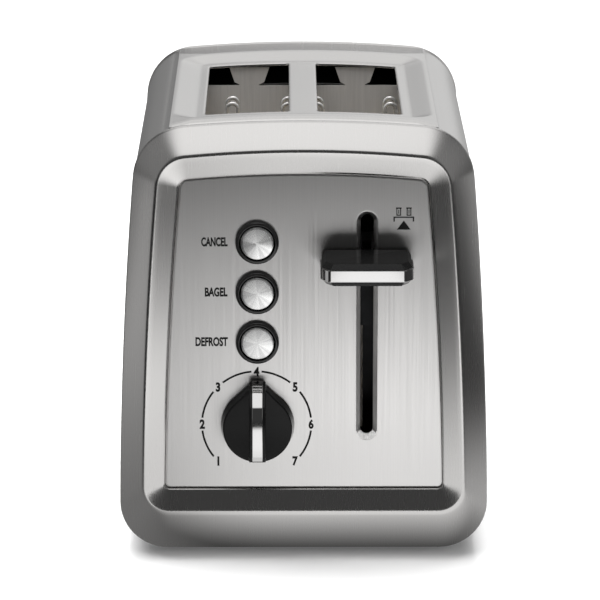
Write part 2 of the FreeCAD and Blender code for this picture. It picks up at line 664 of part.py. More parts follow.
def make_end_plate(name, face, outwards):
    """Upright end plate of the chamber, with two tabs that reach up under the wrap."""
    y0, y1 = sorted((face, face + outwards * PLATE_T))
    plate = box(-PLATE_HALF, PLATE_HALF, y0, y1, FLOOR_TOP, PLATE_TOP)
    feet = []
    for side in (-1, 1):
        x0, x1 = sorted((side * 49, side * PLATE_HALF))
        g0, g1 = sorted((face, face + outwards * 12))
        feet.append(box(x0, x1, g0, g1, FLOOR_TOP, FLOOR_TOP + 1.2))
    tabs = []
    for side in (-1, 1):
        x = side * SLOT_MID
        z0 = PLATE_TOP - 1
        z1 = OUTER["top"] - RECESS_DEPTH - WRAP_STEP - WRAP_WALL - 1.3
        wire = polygon([V(x - 4.9, y0, z0), V(x + 4.9, y0, z0), V(x + 4.9, y0, z0 + 1.6),
                        V(x + 7.2, y0, z0 + 2.6), V(x + 9.8, y0, z1), V(x - 9.8, y0, z1),
                        V(x - 7.2, y0, z0 + 2.6), V(x - 4.9, y0, z0 + 1.6)])
        tabs.append(prism(wire, V(0, PLATE_T, 0)))
    shape = fuse([plate] + feet + tabs)
    holes = []
    for side in (-1, 1):
        x = side * SLOT_MID
        holes.append(box(x - 1.7, x + 1.7, y0 - 8, y1 + 8, RACK_TOP - 10 - DOWN - 3, RACK_TOP + LIFT + 2))
    for low_x, _, _ in GUARDS.values():
        holes.append(rod_y(low_x, PIVOT_Z, PIVOT_R + RUN_GAP, y0 - 1, y1 + 1))
    for x, y in SCREW_XY:
        holes.append(rod_z(x, y, 1.45, 4, 9))
    tray_gate = box(-48, 48, y0 - 1, y1 + 1, FLOOR_TOP - 1, 15.0)
    save(name, shape.cut(holes + [tray_gate]))


def make_chamber():
    make_end_plate("chamber_front_plate", PLATE_FRONT + PLATE_T, -1)
    make_end_plate("chamber_rear_plate", PLATE_REAR, 1)
    y0 = PLATE_FRONT + PLATE_T
    y1 = PLATE_REAR
    for name, side in (("left", -1), ("right", 1)):
        x0, x1 = sorted((side * 54.5, side * 55.5))
        wall = box(x0, x1, y0, y1, 18, 184)
        ribs = [box(x0 - 0.4, x1 + 0.4, y0 + 4, y1 - 4, z, z + 3) for z in (50, 90, 130, 165)]
        t0, t1 = sorted((side * 47.5, side * 55.5))
        lip = box(t0, t1, y0, y1, 183, 184)
        save(f"reflector_{name}", fuse([wall, lip] + ribs))
    boards = []
    ribbons = []
    for x in (-BOARD_X, 0.0, BOARD_X):
        half = BOARD_T / 2
        board = box(x - half, x + half, y0, y1, 28, 178)
        notches = [box(x - 1, x + 1, y, y + 2, 27, 31) for y in range(-42, 69, 10)]
        boards.append(board.cut(notches))
        for i in range(12):
            z = 38 + i * 11.6
            loop = box(x - half - 0.3, x + half + 0.3, y0 + 5, y1 - 5, z, z + 1.4)
            ribbons += loop.cut(box(x - half, x + half, y0 + 4, y1 - 4, z - 1, z + 3)).Solids
    save("heater_boards", Part.makeCompound(boards))
    save("heater_ribbons", Part.makeCompound(ribbons))


HOOK_R = 2.6              # bend of the guard wires at their tops
HOOK_TAIL = 3.0
HOOKED_Y = (-19.0, -5.0, 28.0, 42.0)
SHORT_Y = (-41.0, 11.5, 63.0)
WELD_BITE = 0.1           # how far crossing wires sink into each other at their spot welds
CROSS_Z = (62.0, 98.0, 134.0, 156.0)


def guard_wire(low_x, lean, turn, y, top, hooked):
    """One upright wire of a bread guard, swept along its own line and hook."""
    length = math.hypot(1, lean)
    d = V(lean / length, 0, 1 / length)
    n = V(turn / length, 0, -turn * lean / length)
    foot = V(low_x, y, PIVOT_Z) + d * (PIVOT_R - WELD_BITE)
    head = V(low_x + lean * (top - PIVOT_Z), y, top)
    path = [Part.LineSegment(foot, head).toShape()]
    if hooked:
        middle = head + n * HOOK_R + d * HOOK_R
        end = head + n * (2 * HOOK_R)
        path.append(arc(head, middle, end))
        path.append(Part.LineSegment(end, end - d * HOOK_TAIL).toShape())
    ring = Part.Wire([Part.makeCircle(GUARD_WIRE, foot, d)])
    return Part.Wire(path).makePipeShell([ring], True, True)


def make_guards():
    y0 = PLATE_FRONT
    y1 = PLATE_REAR + PLATE_T
    for name, (low_x, high_x, turn) in GUARDS.items():
        lean = (high_x - low_x) / (GUARD_TOP - PIVOT_Z)
        uprights = [guard_wire(low_x, lean, turn, y, GUARD_TOP, True) for y in HOOKED_Y]
        uprights += [guard_wire(low_x, lean, turn, y, GUARD_TOP - 28, False) for y in SHORT_Y]
        save(f"guard_{name}_uprights", Part.makeCompound(uprights))
        bars = [rod_y(low_x, PIVOT_Z, PIVOT_R, y0 - 1.5, y1 + 1.5)]
        for z in CROSS_Z:
            x = low_x + lean * (z - PIVOT_Z) + turn * (2 * GUARD_WIRE - WELD_BITE)
            bars.append(rod_y(x, z, GUARD_WIRE, y0 + 3.5, y1 - 3.5))
        save(f"guard_{name}_bars", Part.makeCompound(bars))


# ---- crumb tray --------------------------------------------------------------------------------
def make_tray():
    low = FLOOR_TOP + 0.5
    y0 = PLATE_FRONT + 4
    y1 = REAR_JOINT + 1.0
    pan = box(-46, 46, y0, y1, low, low + 5)
    hollow = box(-45, 45, y0 + 1, y1 - 1, low + 1, low + 8)
    save("crumb_tray", pan.cut(hollow))
    pull = box(-46, 46, y1, REAR_JOINT + 8.5, low, 13.2)
    edges = [e for e in pull.Edges if e.BoundBox.XLength > 50 and e.BoundBox.YMax > y1 + 1]
    pull = pull.makeFillet(1.6, edges)
    scoop = Part.makeCylinder(3.2, 40, V(-20, REAR_JOINT + 7.5, low - 0.6), V(1, 0, 0))
    save("tray_pull", pull.cut(scoop))


# ---- rear ------------------------------------------------------------------------------------------
REAR_SCREW_XZ = [(x, z) for x in (-50.0, 50.0) for z in (46.0, 166.0)]
INLET_X = -30.0
INLET_Z = 50.0


def make_rear():
    front = REAR_FACE - PANEL_THICK
    plate = outline_prism(inset(PANEL, PANEL_FIT), front, REAR_FACE)
    holes = [rod_y(INLET_X, INLET_Z, 7.2, front - 1, REAR_FACE + 1)]
    holes += [rod_y(x, z, 1.8, front - 1, REAR_FACE + 1) for x, z in REAR_SCREW_XZ]
    for i in range(7):
        z = 96.0 + 9.0 * i
        vent = round_slot(-34, 34, -1.5, 1.5, 0, 10, 1.45)
        vent.rotate(V(0, 0, 0), V(1, 0, 0), 90)
        vent.translate(V(0, REAR_FACE + 5, z))
        holes.append(vent)
    save("rear_panel", plate.cut(holes))

    flange = rod_y(INLET_X, INLET_Z, 9.5, REAR_FACE, REAR_FACE + 2.6)
    flange = flange.makeFillet(1.0, [e for e in flange.Edges
                                     if abs(e.BoundBox.YMin - (REAR_FACE + 2.6)) < 0.01])
    neck = rod_y(INLET_X, INLET_Z, 7.0, front - 3, REAR_FACE + 0.5)
    collar = rod_y(INLET_X, INLET_Z, 8.4, front - 3, front)
    bore = rod_y(INLET_X, INLET_Z, 3.4, front - 5, REAR_FACE + 5)
    save("cord_inlet", fuse([flange, neck, collar]).cut(bore))

    carrier = outline_prism(inset(PANEL, 0.6), front - 1.6, front - 0.1)
    window = box(-44, 44, front - 5, front + 1, 60, 165)
    openings = [window, rod_y(INLET_X, INLET_Z, 8.8, front - 5, front + 1)]
    openings += [rod_y(x, z, 1.8, front - 5, front + 1) for x, z in REAR_SCREW_XZ]
    save("rear_frame", carrier.cut(openings))

    screws = []
    for x, z in REAR_SCREW_XZ:
        head = rod_y(x, z, 3.2, REAR_FACE, REAR_FACE + 1.8)
        head = head.makeFillet(0.9, [e for e in head.Edges
                                     if abs(e.BoundBox.YMin - (REAR_FACE + 1.8)) < 0.01])
        shank = rod_y(x, z, 1.5, REAR_FACE - 7, REAR_FACE + 0.2)
        slot_a = box(x - 1.9, x + 1.9, REAR_FACE + 0.9, REAR_FACE + 3, z - 0.4, z + 0.4)
        slot_b = box(x - 0.4, x + 0.4, REAR_FACE + 0.9, REAR_FACE + 3, z - 1.9, z + 1.9)
        screws.append(fuse([head, shank]).cut([slot_a, slot_b]))
    save("rear_screws", Part.makeCompound(screws))


make_front_bezel()
make_rear_bezel()
make_wrap()
make_base()
make_feet()
make_base_screws()
make_control_panel()
make_panel_carrier()
make_circuit_board()
make_buttons()
make_knob()
make_lever()
make_carriage()
make_guides()
make_magnet()
make_chamber()
make_guards()
make_tray()
make_rear()
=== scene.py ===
import math

import bmesh
import bpy
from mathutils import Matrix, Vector
from mathutils.geometry import delaunay_2d_cdt


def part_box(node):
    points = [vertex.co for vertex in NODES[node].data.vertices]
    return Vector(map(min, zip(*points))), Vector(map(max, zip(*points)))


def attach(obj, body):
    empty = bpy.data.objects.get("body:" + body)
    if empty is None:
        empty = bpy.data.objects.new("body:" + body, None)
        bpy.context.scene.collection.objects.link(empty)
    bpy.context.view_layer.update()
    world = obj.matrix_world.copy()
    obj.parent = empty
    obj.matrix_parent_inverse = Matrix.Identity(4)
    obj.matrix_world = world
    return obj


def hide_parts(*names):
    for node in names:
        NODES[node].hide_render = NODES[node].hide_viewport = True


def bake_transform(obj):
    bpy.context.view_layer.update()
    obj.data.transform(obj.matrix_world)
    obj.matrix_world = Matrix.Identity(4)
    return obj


# Two-slot pop-up toaster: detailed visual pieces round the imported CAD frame. Metres, +Z up,
# control panel towards -Y. Shape numbers below are in millimetres and are scaled by MM.

MM = 0.001
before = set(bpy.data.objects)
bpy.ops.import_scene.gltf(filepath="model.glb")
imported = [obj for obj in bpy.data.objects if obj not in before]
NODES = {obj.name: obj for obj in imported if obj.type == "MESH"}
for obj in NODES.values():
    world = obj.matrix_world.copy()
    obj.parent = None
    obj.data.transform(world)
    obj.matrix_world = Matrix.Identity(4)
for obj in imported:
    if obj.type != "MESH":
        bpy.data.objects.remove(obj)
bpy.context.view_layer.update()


def cad(node):
    """Lowest and highest corner of a CAD node in millimetres."""
    lo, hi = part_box(node)
    return lo / MM, hi / MM


def middle(node):
    lo, hi = cad(node)
    return (lo + hi) / 2


# ---- measures taken from the frame ----
RING_LO, RING_HI = cad("cancel_ring")
KNOB_LO, KNOB_HI = cad("knob_body")
LEVER_LO, LEVER_HI = cad("lever_trim")

FRONT_JOINT = cad("front_bezel")[1].y
REAR_JOINT = cad("rear_bezel")[0].y
PANEL_FACE = cad("control_panel")[0].y
CONTROL_X = (RING_LO.x + RING_HI.x) / 2
DIAL_Z = middle("knob_shaft").z
BUTTON_Z = {name: middle(name + "_ring").z for name in ("cancel", "bagel", "defrost")}

# Closed outlines across the body, in the XZ plane (bulged sides, arched top, flat bottom)
OUTER = dict(half=84.5, side_r=2140.0, bottom=3.0, top=203.5, top_r=650.0, low_r=22.0, high_r=25.0)
RIDGE = dict(half=73.7, side_r=2060.0, bottom=23.6, top=192.3, top_r=550.0, low_r=12.0, high_r=14.0)
PANEL = dict(half=63.9, side_r=1972.0, bottom=34.0, top=181.3, top_r=550.0, low_r=2.5, high_r=4.5)

RIM = 2.0                 # flat side of a bezel next to the wrap
DEPTH = 15.0              # from the wrap to a bezel's ridge
BAND_DROP = 3.5           # fall of the inner band from the ridge
SETBACK = 5.0             # control panel behind the ridge
WRAP_STEP = 0.6           # wrap inside the bezels' outline
RECESS_HALF = 59.0        # pressed recess in the top
RECESS_FRONT = -64.5
RECESS_REAR = 89.0
RECESS_DEPTH = 3.0
RECESS_CORNER = 14.0
BEVEL = 9.5               # width of its sloped edge
BEND = 0.10               # rounding of its bends, as a share of the bevel
SLOT_IN = 6.7             # bread slots, from the centre plane
SLOT_OUT = 45.0
SLOT_FRONT = -45.0
SLOT_REAR = 73.0
SLOT_CORNER = 2.0
SLOT_X = 28.6             # lever slot, over its sloped lip
SLOT_LOW = 57.2
SLOT_HIGH = 163.5
SLOT_W = 9.2
THROAT_W = 5.8            # and behind the lip
LIP_DEPTH = 3.0
BUTTON_HOLE_R = 8.6       # hole in the panel under a button's ring


# ---- mesh helpers ----
def mesh_object(name, verts, faces):
    """New mesh object in the scene, from points in millimetres."""
    mesh = bpy.data.meshes.new(name)
    mesh.from_pydata([Vector(v) * MM for v in verts], [], faces)
    obj = bpy.data.objects.new(name, mesh)
    bpy.context.scene.collection.objects.link(obj)
    return obj


def piece(name, shape, material, body="root", stands_for=(), angle=32.0, turn_out=True):
    """New piece from (verts, faces), smooth except where faces meet more sharply than angle."""
    obj = mesh_object(name, *shape)
    mesh = obj.data
    mesh.validate()
    mesh.polygons.foreach_set("use_smooth", [True] * len(mesh.polygons))
    mesh.set_sharp_from_angle(angle=math.radians(angle))
    mesh.materials.append(material)
    if turn_out:
        face_out(obj)
    if body:
        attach(obj, body)
    if stands_for:
        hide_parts(*stands_for)
    return obj


def edit_mesh(obj, edit):
    """Runs a bmesh edit on an object's mesh."""
    bm = bmesh.new()
    bm.from_mesh(obj.data)
    edit(bm)
    bm.to_mesh(obj.data)
    bm.free()


def face_out(obj):
    """Turns every face of a closed mesh outwards."""
    edit_mesh(obj, lambda bm: bmesh.ops.recalc_face_normals(bm, faces=bm.faces))


def ring_faces(a, b, count):
    """Quads between two rings of count points that start at a and b."""
    ring = [(i, (i + 1) % count) for i in range(count)]
    return [(a + i, a + j, b + j, b + i) for i, j in ring]


def loft(loops, closed_path=False, cap_start=False, cap_end=False):
    """Verts and faces through closed loops of equal length."""
    count = len(loops[0])
    verts = [p for loop in loops for p in loop]
    faces = []
    last = len(loops) if closed_path else len(loops) - 1
    for k in range(last):
        faces += ring_faces(k * count, ((k + 1) % len(loops)) * count, count)
    if cap_start:
        faces.append(tuple(range(count))[::-1])
    if cap_end:
        base = (len(loops) - 1) * count
        faces.append(tuple(range(base, base + count)))
    return verts, faces


def curve(a, b, c, t):
    """Point at t on a quadratic curve from a to c that bends towards b."""
    return tuple((1 - t) ** 2 * p + 2 * t * (1 - t) * q + t * t * r for p, q, r in zip(a, b, c))


def joined(parts):
    """One vertex and face list from several."""
    verts, faces = [], []
    for v, f in parts:
        base = len(verts)
        verts += v
        faces += [tuple(i + base for i in face) for face in f]
    return verts, faces


def face_uv(obj, prefer):
    """UV per face: U along the preferred axis where the face allows it."""
    mesh = obj.data
    layer = mesh.uv_layers.new(name="brush")
    order = {"z": (2, 1, 0), "y": (1, 2, 0), "x": (0, 2, 1)}[prefer]
    for poly in mesh.polygons:
        n = poly.normal
        first = order[0] if abs(n[order[0]]) < 0.93 else order[1]
        rest = [a for a in (0, 1, 2) if a != first]
        second = min(rest, key=lambda a: abs(n[a]))
        for li in poly.loop_indices:
            co = mesh.vertices[mesh.loops[li].vertex_index].co
            layer.data[li].uv = (co[first] / 0.2, co[second] / 0.2)


# ---- outlines ----
def inset(outline, d):
    moved = dict(outline)
    for key in ("half", "side_r", "top", "top_r", "low_r", "high_r"):
        moved[key] = outline[key] - d
    moved["bottom"] = outline["bottom"] + d
    return moved


def mix(a, b, t):
    return {key: a[key] * (1 - t) + b[key] * t for key in a}


def arc_run(cx, cz, r, a0, a1, steps):
    return [(cx + r * math.cos(a0 + (a1 - a0) * i / steps), cz + r * math.sin(a0 + (a1 - a0) * i / steps))
            for i in range(steps)]


def outline(o):
    """Points (x, z) round a closed outline, anticlockwise seen from the front, from its bottom right."""
    corner, side, top, bottom = 14, 16, 24, 12        # steps along each stretch
    side_x = o["half"] - o["side_r"]
    top_z = o["top"] - o["top_r"]
    low_z = o["bottom"] + o["low_r"]
    reach = o["side_r"] - o["low_r"]
    low_x = side_x + math.sqrt(reach ** 2 - low_z ** 2)
    to_side = o["side_r"] - o["high_r"]
    to_top = o["top_r"] - o["high_r"]
    gap = math.hypot(side_x, top_z)
    along = (to_top ** 2 - to_side ** 2 + gap ** 2) / (2 * gap)
    across = math.sqrt(to_top ** 2 - along ** 2)
    gx, gz = side_x / gap, -top_z / gap
    high_x, high_z = along * gx - across * gz, top_z + along * gz + across * gx
    if high_x < 0 or high_z < o["bottom"]:
        high_x, high_z = along * gx + across * gz, top_z + along * gz - across * gx
    low_a = math.atan2(low_z, low_x - side_x)
    high_a = math.atan2(high_z, high_x - side_x)
    top_a = math.atan2(high_z - top_z, high_x)
    right = arc_run(low_x, low_z, o["low_r"], -math.pi / 2, low_a, corner)
    right += arc_run(side_x, 0.0, o["side_r"], low_a, high_a, side)
    right += arc_run(high_x, high_z, o["high_r"], high_a, top_a, corner)
    over = arc_run(0.0, top_z, o["top_r"], top_a, math.pi - top_a, top)
    end = (o["top_r"] * math.cos(math.pi - top_a), top_z + o["top_r"] * math.sin(math.pi - top_a))
    left = [end] + [(-x, z) for x, z in reversed(right)]
    base = [(-low_x + 2 * low_x * i / bottom, o["bottom"]) for i in range(1, bottom)]
    return right + over + left + base


def loop_at(o, y):
    return [(x, y, z) for x, z in outline(o)]


def arch_z(x):
    """Height of the wrap's arched top, recess aside."""
    r = OUTER["top_r"] - WRAP_STEP
    return OUTER["top"] - OUTER["top_r"] + math.sqrt(r ** 2 - x ** 2)


def lever_slot(low, high, width, y):
    """Outline of the lever slot, taken low and high past its ends."""
    r = width / 2
    steps = 16
    points = []
    for start, z in ((0.0, SLOT_HIGH + high - r), (math.pi, SLOT_LOW - low + r)):
        for i in range(steps + 1):
            a = start + math.pi * i / steps
            points.append((SLOT_X + r * math.cos(a), y, z + r * math.sin(a)))
    return points


# ---- materials ----
def link(source, target):
    """Joins two sockets of one node tree."""
    target.id_data.links.new(source, target)


def add_node(kind, operation, *inputs):
    """New maths node beside its first input, a socket; the others are sockets or values."""
    node = inputs[0].id_data.nodes.new(kind)
    node.operation = operation
    for socket, value in zip(node.inputs, inputs):
        if isinstance(value, bpy.types.NodeSocket):
            link(value, socket)
        else:
            socket.default_value = value
    return node


def maths(operation, *inputs):
    return add_node("ShaderNodeMath", operation, *inputs).outputs[0]


def vector_maths(operation, *inputs):
    """Result of a vector node: a number for a length or dot product, and otherwise a vector."""
    node = add_node("ShaderNodeVectorMath", operation, *inputs)
    return node.outputs["Value" if operation in ("LENGTH", "DOT_PRODUCT") else "Vector"]


def new_material(name):
    mat = bpy.data.materials.new(name)
    mat.use_nodes = True
    tree = mat.node_tree
    tree.nodes.clear()
    out = tree.nodes.new("ShaderNodeOutputMaterial")
    shader = tree.nodes.new("ShaderNodeBsdfPrincipled")
    link(shader.outputs["BSDF"], out.inputs["Surface"])
    return mat, tree, shader


def object_coords(tree, scale):
    """Object-space position, scaled per axis."""
    coord = tree.nodes.new("ShaderNodeTexCoord")
    mapping = tree.nodes.new("ShaderNodeMapping")
    mapping.inputs["Scale"].default_value = scale
    link(coord.outputs["Object"], mapping.inputs["Vector"])
    return mapping.outputs["Vector"]


def noise(vector, scale, detail=4.0, rough=0.6):
    node = vector.id_data.nodes.new("ShaderNodeTexNoise")
    node.inputs["Scale"].default_value = scale
    node.inputs["Detail"].default_value = detail
    node.inputs["Roughness"].default_value = rough
    link(vector, node.inputs["Vector"])
    return node.outputs["Fac"]


def remap(value, low, high, start=0.25, stop=0.75, kind="LINEAR"):
    """Runs from low to high as the value goes from start to stop."""
    node = value.id_data.nodes.new("ShaderNodeMapRange")
    node.interpolation_type = kind
    for key, number in (("From Min", start), ("From Max", stop), ("To Min", low), ("To Max", high)):
        node.inputs[key].default_value = number
    link(value, node.inputs["Value"])
    return node.outputs["Result"]


def blend_colour(factor, a, b):
    node = factor.id_data.nodes.new("ShaderNodeMix")
    node.data_type = "RGBA"
    node.inputs["A"].default_value = (*a, 1)
    node.inputs["B"].default_value = (*b, 1)
    link(factor, node.inputs["Factor"])
    return node.outputs["Result"]


def mottled(factor, colour, spread):
    """A colour that gets darker and lighter by a share of itself."""
    dark = tuple(c * (1 - spread) for c in colour)
    light = tuple(min(1.0, c * (1 + spread)) for c in colour)
    return blend_colour(factor, dark, light)


def bump(shader, height, strength, distance):
    node = height.id_data.nodes.new("ShaderNodeBump")
    node.inputs["Strength"].default_value = strength
    node.inputs["Distance"].default_value = distance
    link(height, node.inputs["Height"])
    link(node.outputs["Normal"], shader.inputs["Normal"])


def along_brush(shader, aniso):
    """Stretches the highlight across the scratches, which run along U of the brush UV map."""
    shader.inputs["Anisotropic"].default_value = aniso
    shader.inputs["Anisotropic Rotation"].default_value = 0.25
    if aniso > 0:
        tangent = shader.id_data.nodes.new("ShaderNodeTangent")
        tangent.direction_type = "UV_MAP"
        tangent.uv_map = "brush"
        link(tangent.outputs["Tangent"], shader.inputs["Tangent"])


def brushed(name, colour, rough, grain, aniso=0.75, contrast=0.05, depth=0.01, metallic=1.0, vary=0.2):
    """Brushed metal. grain is the stretch of the scratches per axis (small along the brushing)."""
    mat, tree, shader = new_material(name)
    shader.inputs["Metallic"].default_value = metallic
    along_brush(shader, aniso)
    fine = noise(object_coords(tree, grain), 1.0, 6.0, 0.7)
    cloud = noise(object_coords(tree, (9, 9, 9)), 1.0, 3.0, 0.5)
    shade = maths("MULTIPLY_ADD", fine, 0.8, remap(cloud, 0.0, 0.2))
    tone = remap(shade, 0, 1, 0.3, 0.7)
    link(mottled(tone, colour, contrast), shader.inputs["Base Color"])
    link(remap(fine, rough * (1 - vary), rough * (1 + vary)), shader.inputs["Roughness"])
    bump(shader, fine, 0.25, depth * MM)
    return mat


def plastic(name, colour, rough, coat=0.0, grain=900.0, depth=0.01, variation=0.25, shine=0.5):
    """Moulded plastic with a fine skin, slight cloudiness and soft gloss changes."""
    mat, tree, shader = new_material(name)
    shader.inputs["Specular IOR Level"].default_value = shine
    shader.inputs["Coat Weight"].default_value = coat
    shader.inputs["Coat Roughness"].default_value = 0.05
    skin = noise(object_coords(tree, (1, 1, 1)), grain, 3.0)
    cloud = noise(object_coords(tree, (1, 1, 1)), 35.0, 3.0)
    link(mottled(cloud, colour, variation), shader.inputs["Base Color"])
    link(remap(cloud, rough * 0.85, rough * 1.2), shader.inputs["Roughness"])
    bump(shader, skin, 0.3, depth * MM)
    return mat


def plated(name, colour, rough, spots=120.0, contrast=0.12, metallic=1.0):
    """Plated or drawn metal with faint mottling."""
    mat, tree, shader = new_material(name)
    shader.inputs["Metallic"].default_value = metallic
    mottle = noise(object_coords(tree, (1, 1, 1)), spots, 4.0)
    fine = noise(object_coords(tree, (1, 1, 1)), 1500.0, 2.0)
    link(mottled(mottle, colour, contrast), shader.inputs["Base Color"])
    link(remap(mottle, rough * 0.8, rough * 1.3), shader.inputs["Roughness"])
    bump(shader, fine, 0.15, 0.01 * MM)
    return mat


STEEL = (0.62, 0.61, 0.60)
panel_steel = brushed("panel_steel", (0.74, 0.73, 0.72), 0.34, (2200, 40, 12), aniso=0.75)
bezel_steel = brushed("bezel_steel", STEEL, 0.27, (1500, 40, 12), aniso=0.6, contrast=0.012, depth=0.0,
                      vary=0.03)
wrap_steel = brushed("wrap_steel", STEEL, 0.24, (1800, 12, 1800), aniso=0.4, contrast=0.04, depth=0.004,
                     vary=0.1)
# near-white, barely metallic finish: a painted highlight for the lower lip of the lever slot
painted_slot_highlight = plated("painted_slot_highlight", (0.96, 0.95, 0.94), 0.42, contrast=0.03, metallic=0.1)
polished = plated("polished_chrome", (0.58, 0.575, 0.57), 0.07, contrast=0.02)
spring_wire = plated("spring_wire", (0.45, 0.45, 0.45), 0.25, 200.0)
gloss = plastic("gloss_black", (0.007, 0.007, 0.007), 0.10, depth=0.002, shine=0.12)
ring_black = plastic("ring_black", (0.010, 0.010, 0.010), 0.14, coat=0.25, depth=0.002, shine=0.35)
matt = plastic("matt_black", (0.03, 0.03, 0.03), 0.5)
# near-black: painted shade for the hidden inner faces of the steel casing
painted_inside_shade = plastic("painted_casing_shade", (0.02, 0.02, 0.02), 0.7, shine=0.1)
rubber = plastic("black_rubber", (0.025, 0.025, 0.025), 0.75, grain=500.0, depth=0.03)
ink = plastic("black_ink", (0.010, 0.010, 0.010), 0.6, grain=1200.0, depth=0.002, shine=0.2)


def spun_metal_painted_sheen(name, cx, cz):
    """Disc turned on a lathe about an axis along Y through (cx, cz): fine rings, and a radial sheen painted
    into the colour.
    """
    mat, tree, shader = new_material(name)
    shader.inputs["Metallic"].default_value = 1.0
    along_brush(shader, 0.9)
    coord = tree.nodes.new("ShaderNodeTexCoord")
    shift = vector_maths("SUBTRACT", coord.outputs["Object"], (cx * MM, 0, cz * MM))
    flat = vector_maths("MULTIPLY", shift, (1, 0, 1))
    lane = tree.nodes.new("ShaderNodeCombineXYZ")      # noise over the radius alone: fine rings
    link(vector_maths("LENGTH", flat), lane.inputs["X"])
    rings = noise(lane.outputs["Vector"], 4200.0, 3.0, 0.8)
    axes = tree.nodes.new("ShaderNodeSeparateXYZ")
    link(flat, axes.inputs[0])
    angle = maths("ARCTAN2", axes.outputs["Z"], axes.outputs["X"])
    painted_sheen_angle = tree.nodes.new("ShaderNodeCombineXYZ")      # noise over the angle alone: painted radial sheen
    link(maths("SINE", angle), painted_sheen_angle.inputs["X"])
    link(maths("COSINE", angle), painted_sheen_angle.inputs["Y"])
    # painted sheen: light and dark radial sectors in the base colour stand in for the spun disc's highlights
    painted_sheen = remap(noise(painted_sheen_angle.outputs["Vector"], 2.6, 2.0, 0.5), 0.0, 1.0, 0.38, 0.62)
    tone = maths("MULTIPLY_ADD", rings, 0.3, maths("MULTIPLY", painted_sheen, 0.7))
    link(blend_colour(tone, (0.70, 0.70, 0.70), (1.0, 1.0, 0.99)), shader.inputs["Base Color"])
    link(remap(rings, 0.22, 0.34), shader.inputs["Roughness"])
    bump(shader, rings, 0.3, 0.02 * MM)
    return mat


# ---- bezels ----
def bezel_loops(joint, out, step=0.0):
    """Loops through the section of a picture-frame bezel; its rim starts step inside OUTER."""
    def station(o, depth):
        return {**o, "depth": depth}

    rim = station(OUTER, RIM)
    ridge = station(RIDGE, DEPTH)
    panel = station(PANEL, DEPTH - BAND_DROP)
    groove = 0.3 if step == 0 else 0.06
    path = [station(inset(OUTER, step + groove), 0.0),
            station(inset(OUTER, step + groove * 0.3), groove * 0.3),
            station(inset(OUTER, step), groove),
            station(inset(OUTER, step * 0.4), RIM * 0.6), rim]
    nose = 0.075                     # share of the outer band taken by the rounded ridge
    band_steps = 12
    for i in range(1, band_steps + 1):
        t = (1 - nose) * i / band_steps
        s = mix(rim, ridge, t)
        swell = inset(s, -1.5 * t * (1 - t))
        swell["depth"] = s["depth"] + 0.5 * t * (1 - t)
        path.append(swell)
    a, c = path[-1], mix(ridge, panel, 0.11)
    for i in range(1, 6):
        t = i / 6
        path.append(mix(mix(a, ridge, t), mix(ridge, c, t), t))
    path.append(c)
    path += [mix(ridge, panel, t) for t in (0.3, 0.5, 0.7, 0.9, 0.97)]
    path += [station(inset(PANEL, -0.02), DEPTH - BAND_DROP - 0.3),
             station(PANEL, DEPTH - BAND_DROP - 0.7),
             station(PANEL, DEPTH - SETBACK - 2.4),
             station(inset(PANEL, -1.2), DEPTH - SETBACK - 2.4),
             mix(station(inset(RIDGE, 1.2), DEPTH - 2.0),
                 station(inset(PANEL, -1.2), DEPTH - SETBACK - 1.6), 0.5),
             station(inset(RIDGE, 1.3), DEPTH - 2.2),
             station(inset(OUTER, 1.3), RIM),
             station(inset(OUTER, 1.3), 0.0)]
    return [loop_at(s, joint + out * s["depth"]) for s in path]


def make_front_bezel():
    shape = loft(bezel_loops(FRONT_JOINT, -1), closed_path=True)
    obj = piece("front_bezel_shell", shape, bezel_steel, stands_for=["front_bezel"], angle=40)
    face_uv(obj, "z")
    darken_back(obj, FRONT_JOINT, -1)


def darken_back(obj, joint, out):
    """Gives the hidden back faces of a bezel a near-black dull material: painted shade for the inside of the
    casing.
    """
    obj.data.materials.append(painted_inside_shade)
    for poly in obj.data.polygons:
        if poly.normal.y * out < -0.45 and out * (poly.center.y / MM - joint) > 1.0:
            poly.material_index = 1


def make_rear_bezel():
    shape = loft(bezel_loops(REAR_JOINT, 1, WRAP_STEP), closed_path=True)
    obj = piece("rear_bezel_shell", shape, bezel_steel, stands_for=["rear_bezel"], angle=40)
    (x0, y0, z0), (x1, y1, z1) = (-48.5, REAR_JOINT - 2, 6.0), (48.5, REAR_JOINT + 12, 14.0)
    corners = [(x, y, z) for x in (x0, x1) for y in (y0, y1) for z in (z0, z1)]
    sides = [(0, 1, 3, 2), (4, 6, 7, 5), (0, 4, 5, 1), (2, 3, 7, 6), (0, 2, 6, 4), (1, 5, 7, 3)]
    cutter = mesh_object("tray_mouth", corners, sides)
    cut = obj.modifiers.new("mouth", "BOOLEAN")
    cut.object = cutter
    cut.operation = "DIFFERENCE"
    cut.solver = "EXACT"
    settle(obj)
    bpy.data.objects.remove(cutter)
    obj.data.set_sharp_from_angle(angle=math.radians(40))
    face_uv(obj, "z")
    darken_back(obj, REAR_JOINT, 1)


def settle(obj):
    """Applies an object's modifiers to its mesh."""
    graph = bpy.context.evaluated_depsgraph_get()
    mesh = bpy.data.meshes.new_from_object(obj.evaluated_get(graph))
    obj.modifiers.clear()
    obj.data = mesh


# ---- wrap ----
def sink(x, y):
    """How far the pressed recess lies below the arched top at (x, y)."""
    over_x = abs(x) - (RECESS_HALF - RECESS_CORNER)
    over_y = abs(y - (RECESS_FRONT + RECESS_REAR) / 2) - ((RECESS_REAR - RECESS_FRONT) / 2 - RECESS_CORNER)
    reach = math.hypot(max(over_x, 0.0), max(over_y, 0.0)) + min(max(over_x, over_y), 0.0)
    t = (RECESS_CORNER - reach) / BEVEL
    soft = BEND
    if t <= -soft:
        return 0.0
    if t < soft:
        return RECESS_DEPTH * (t + soft) ** 2 / (4 * soft)
    if t <= 1 - soft:
        return RECESS_DEPTH * t
    if t < 1 + soft:
        return RECESS_DEPTH * (1 - (1 + soft - t) ** 2 / (4 * soft))
    return RECESS_DEPTH


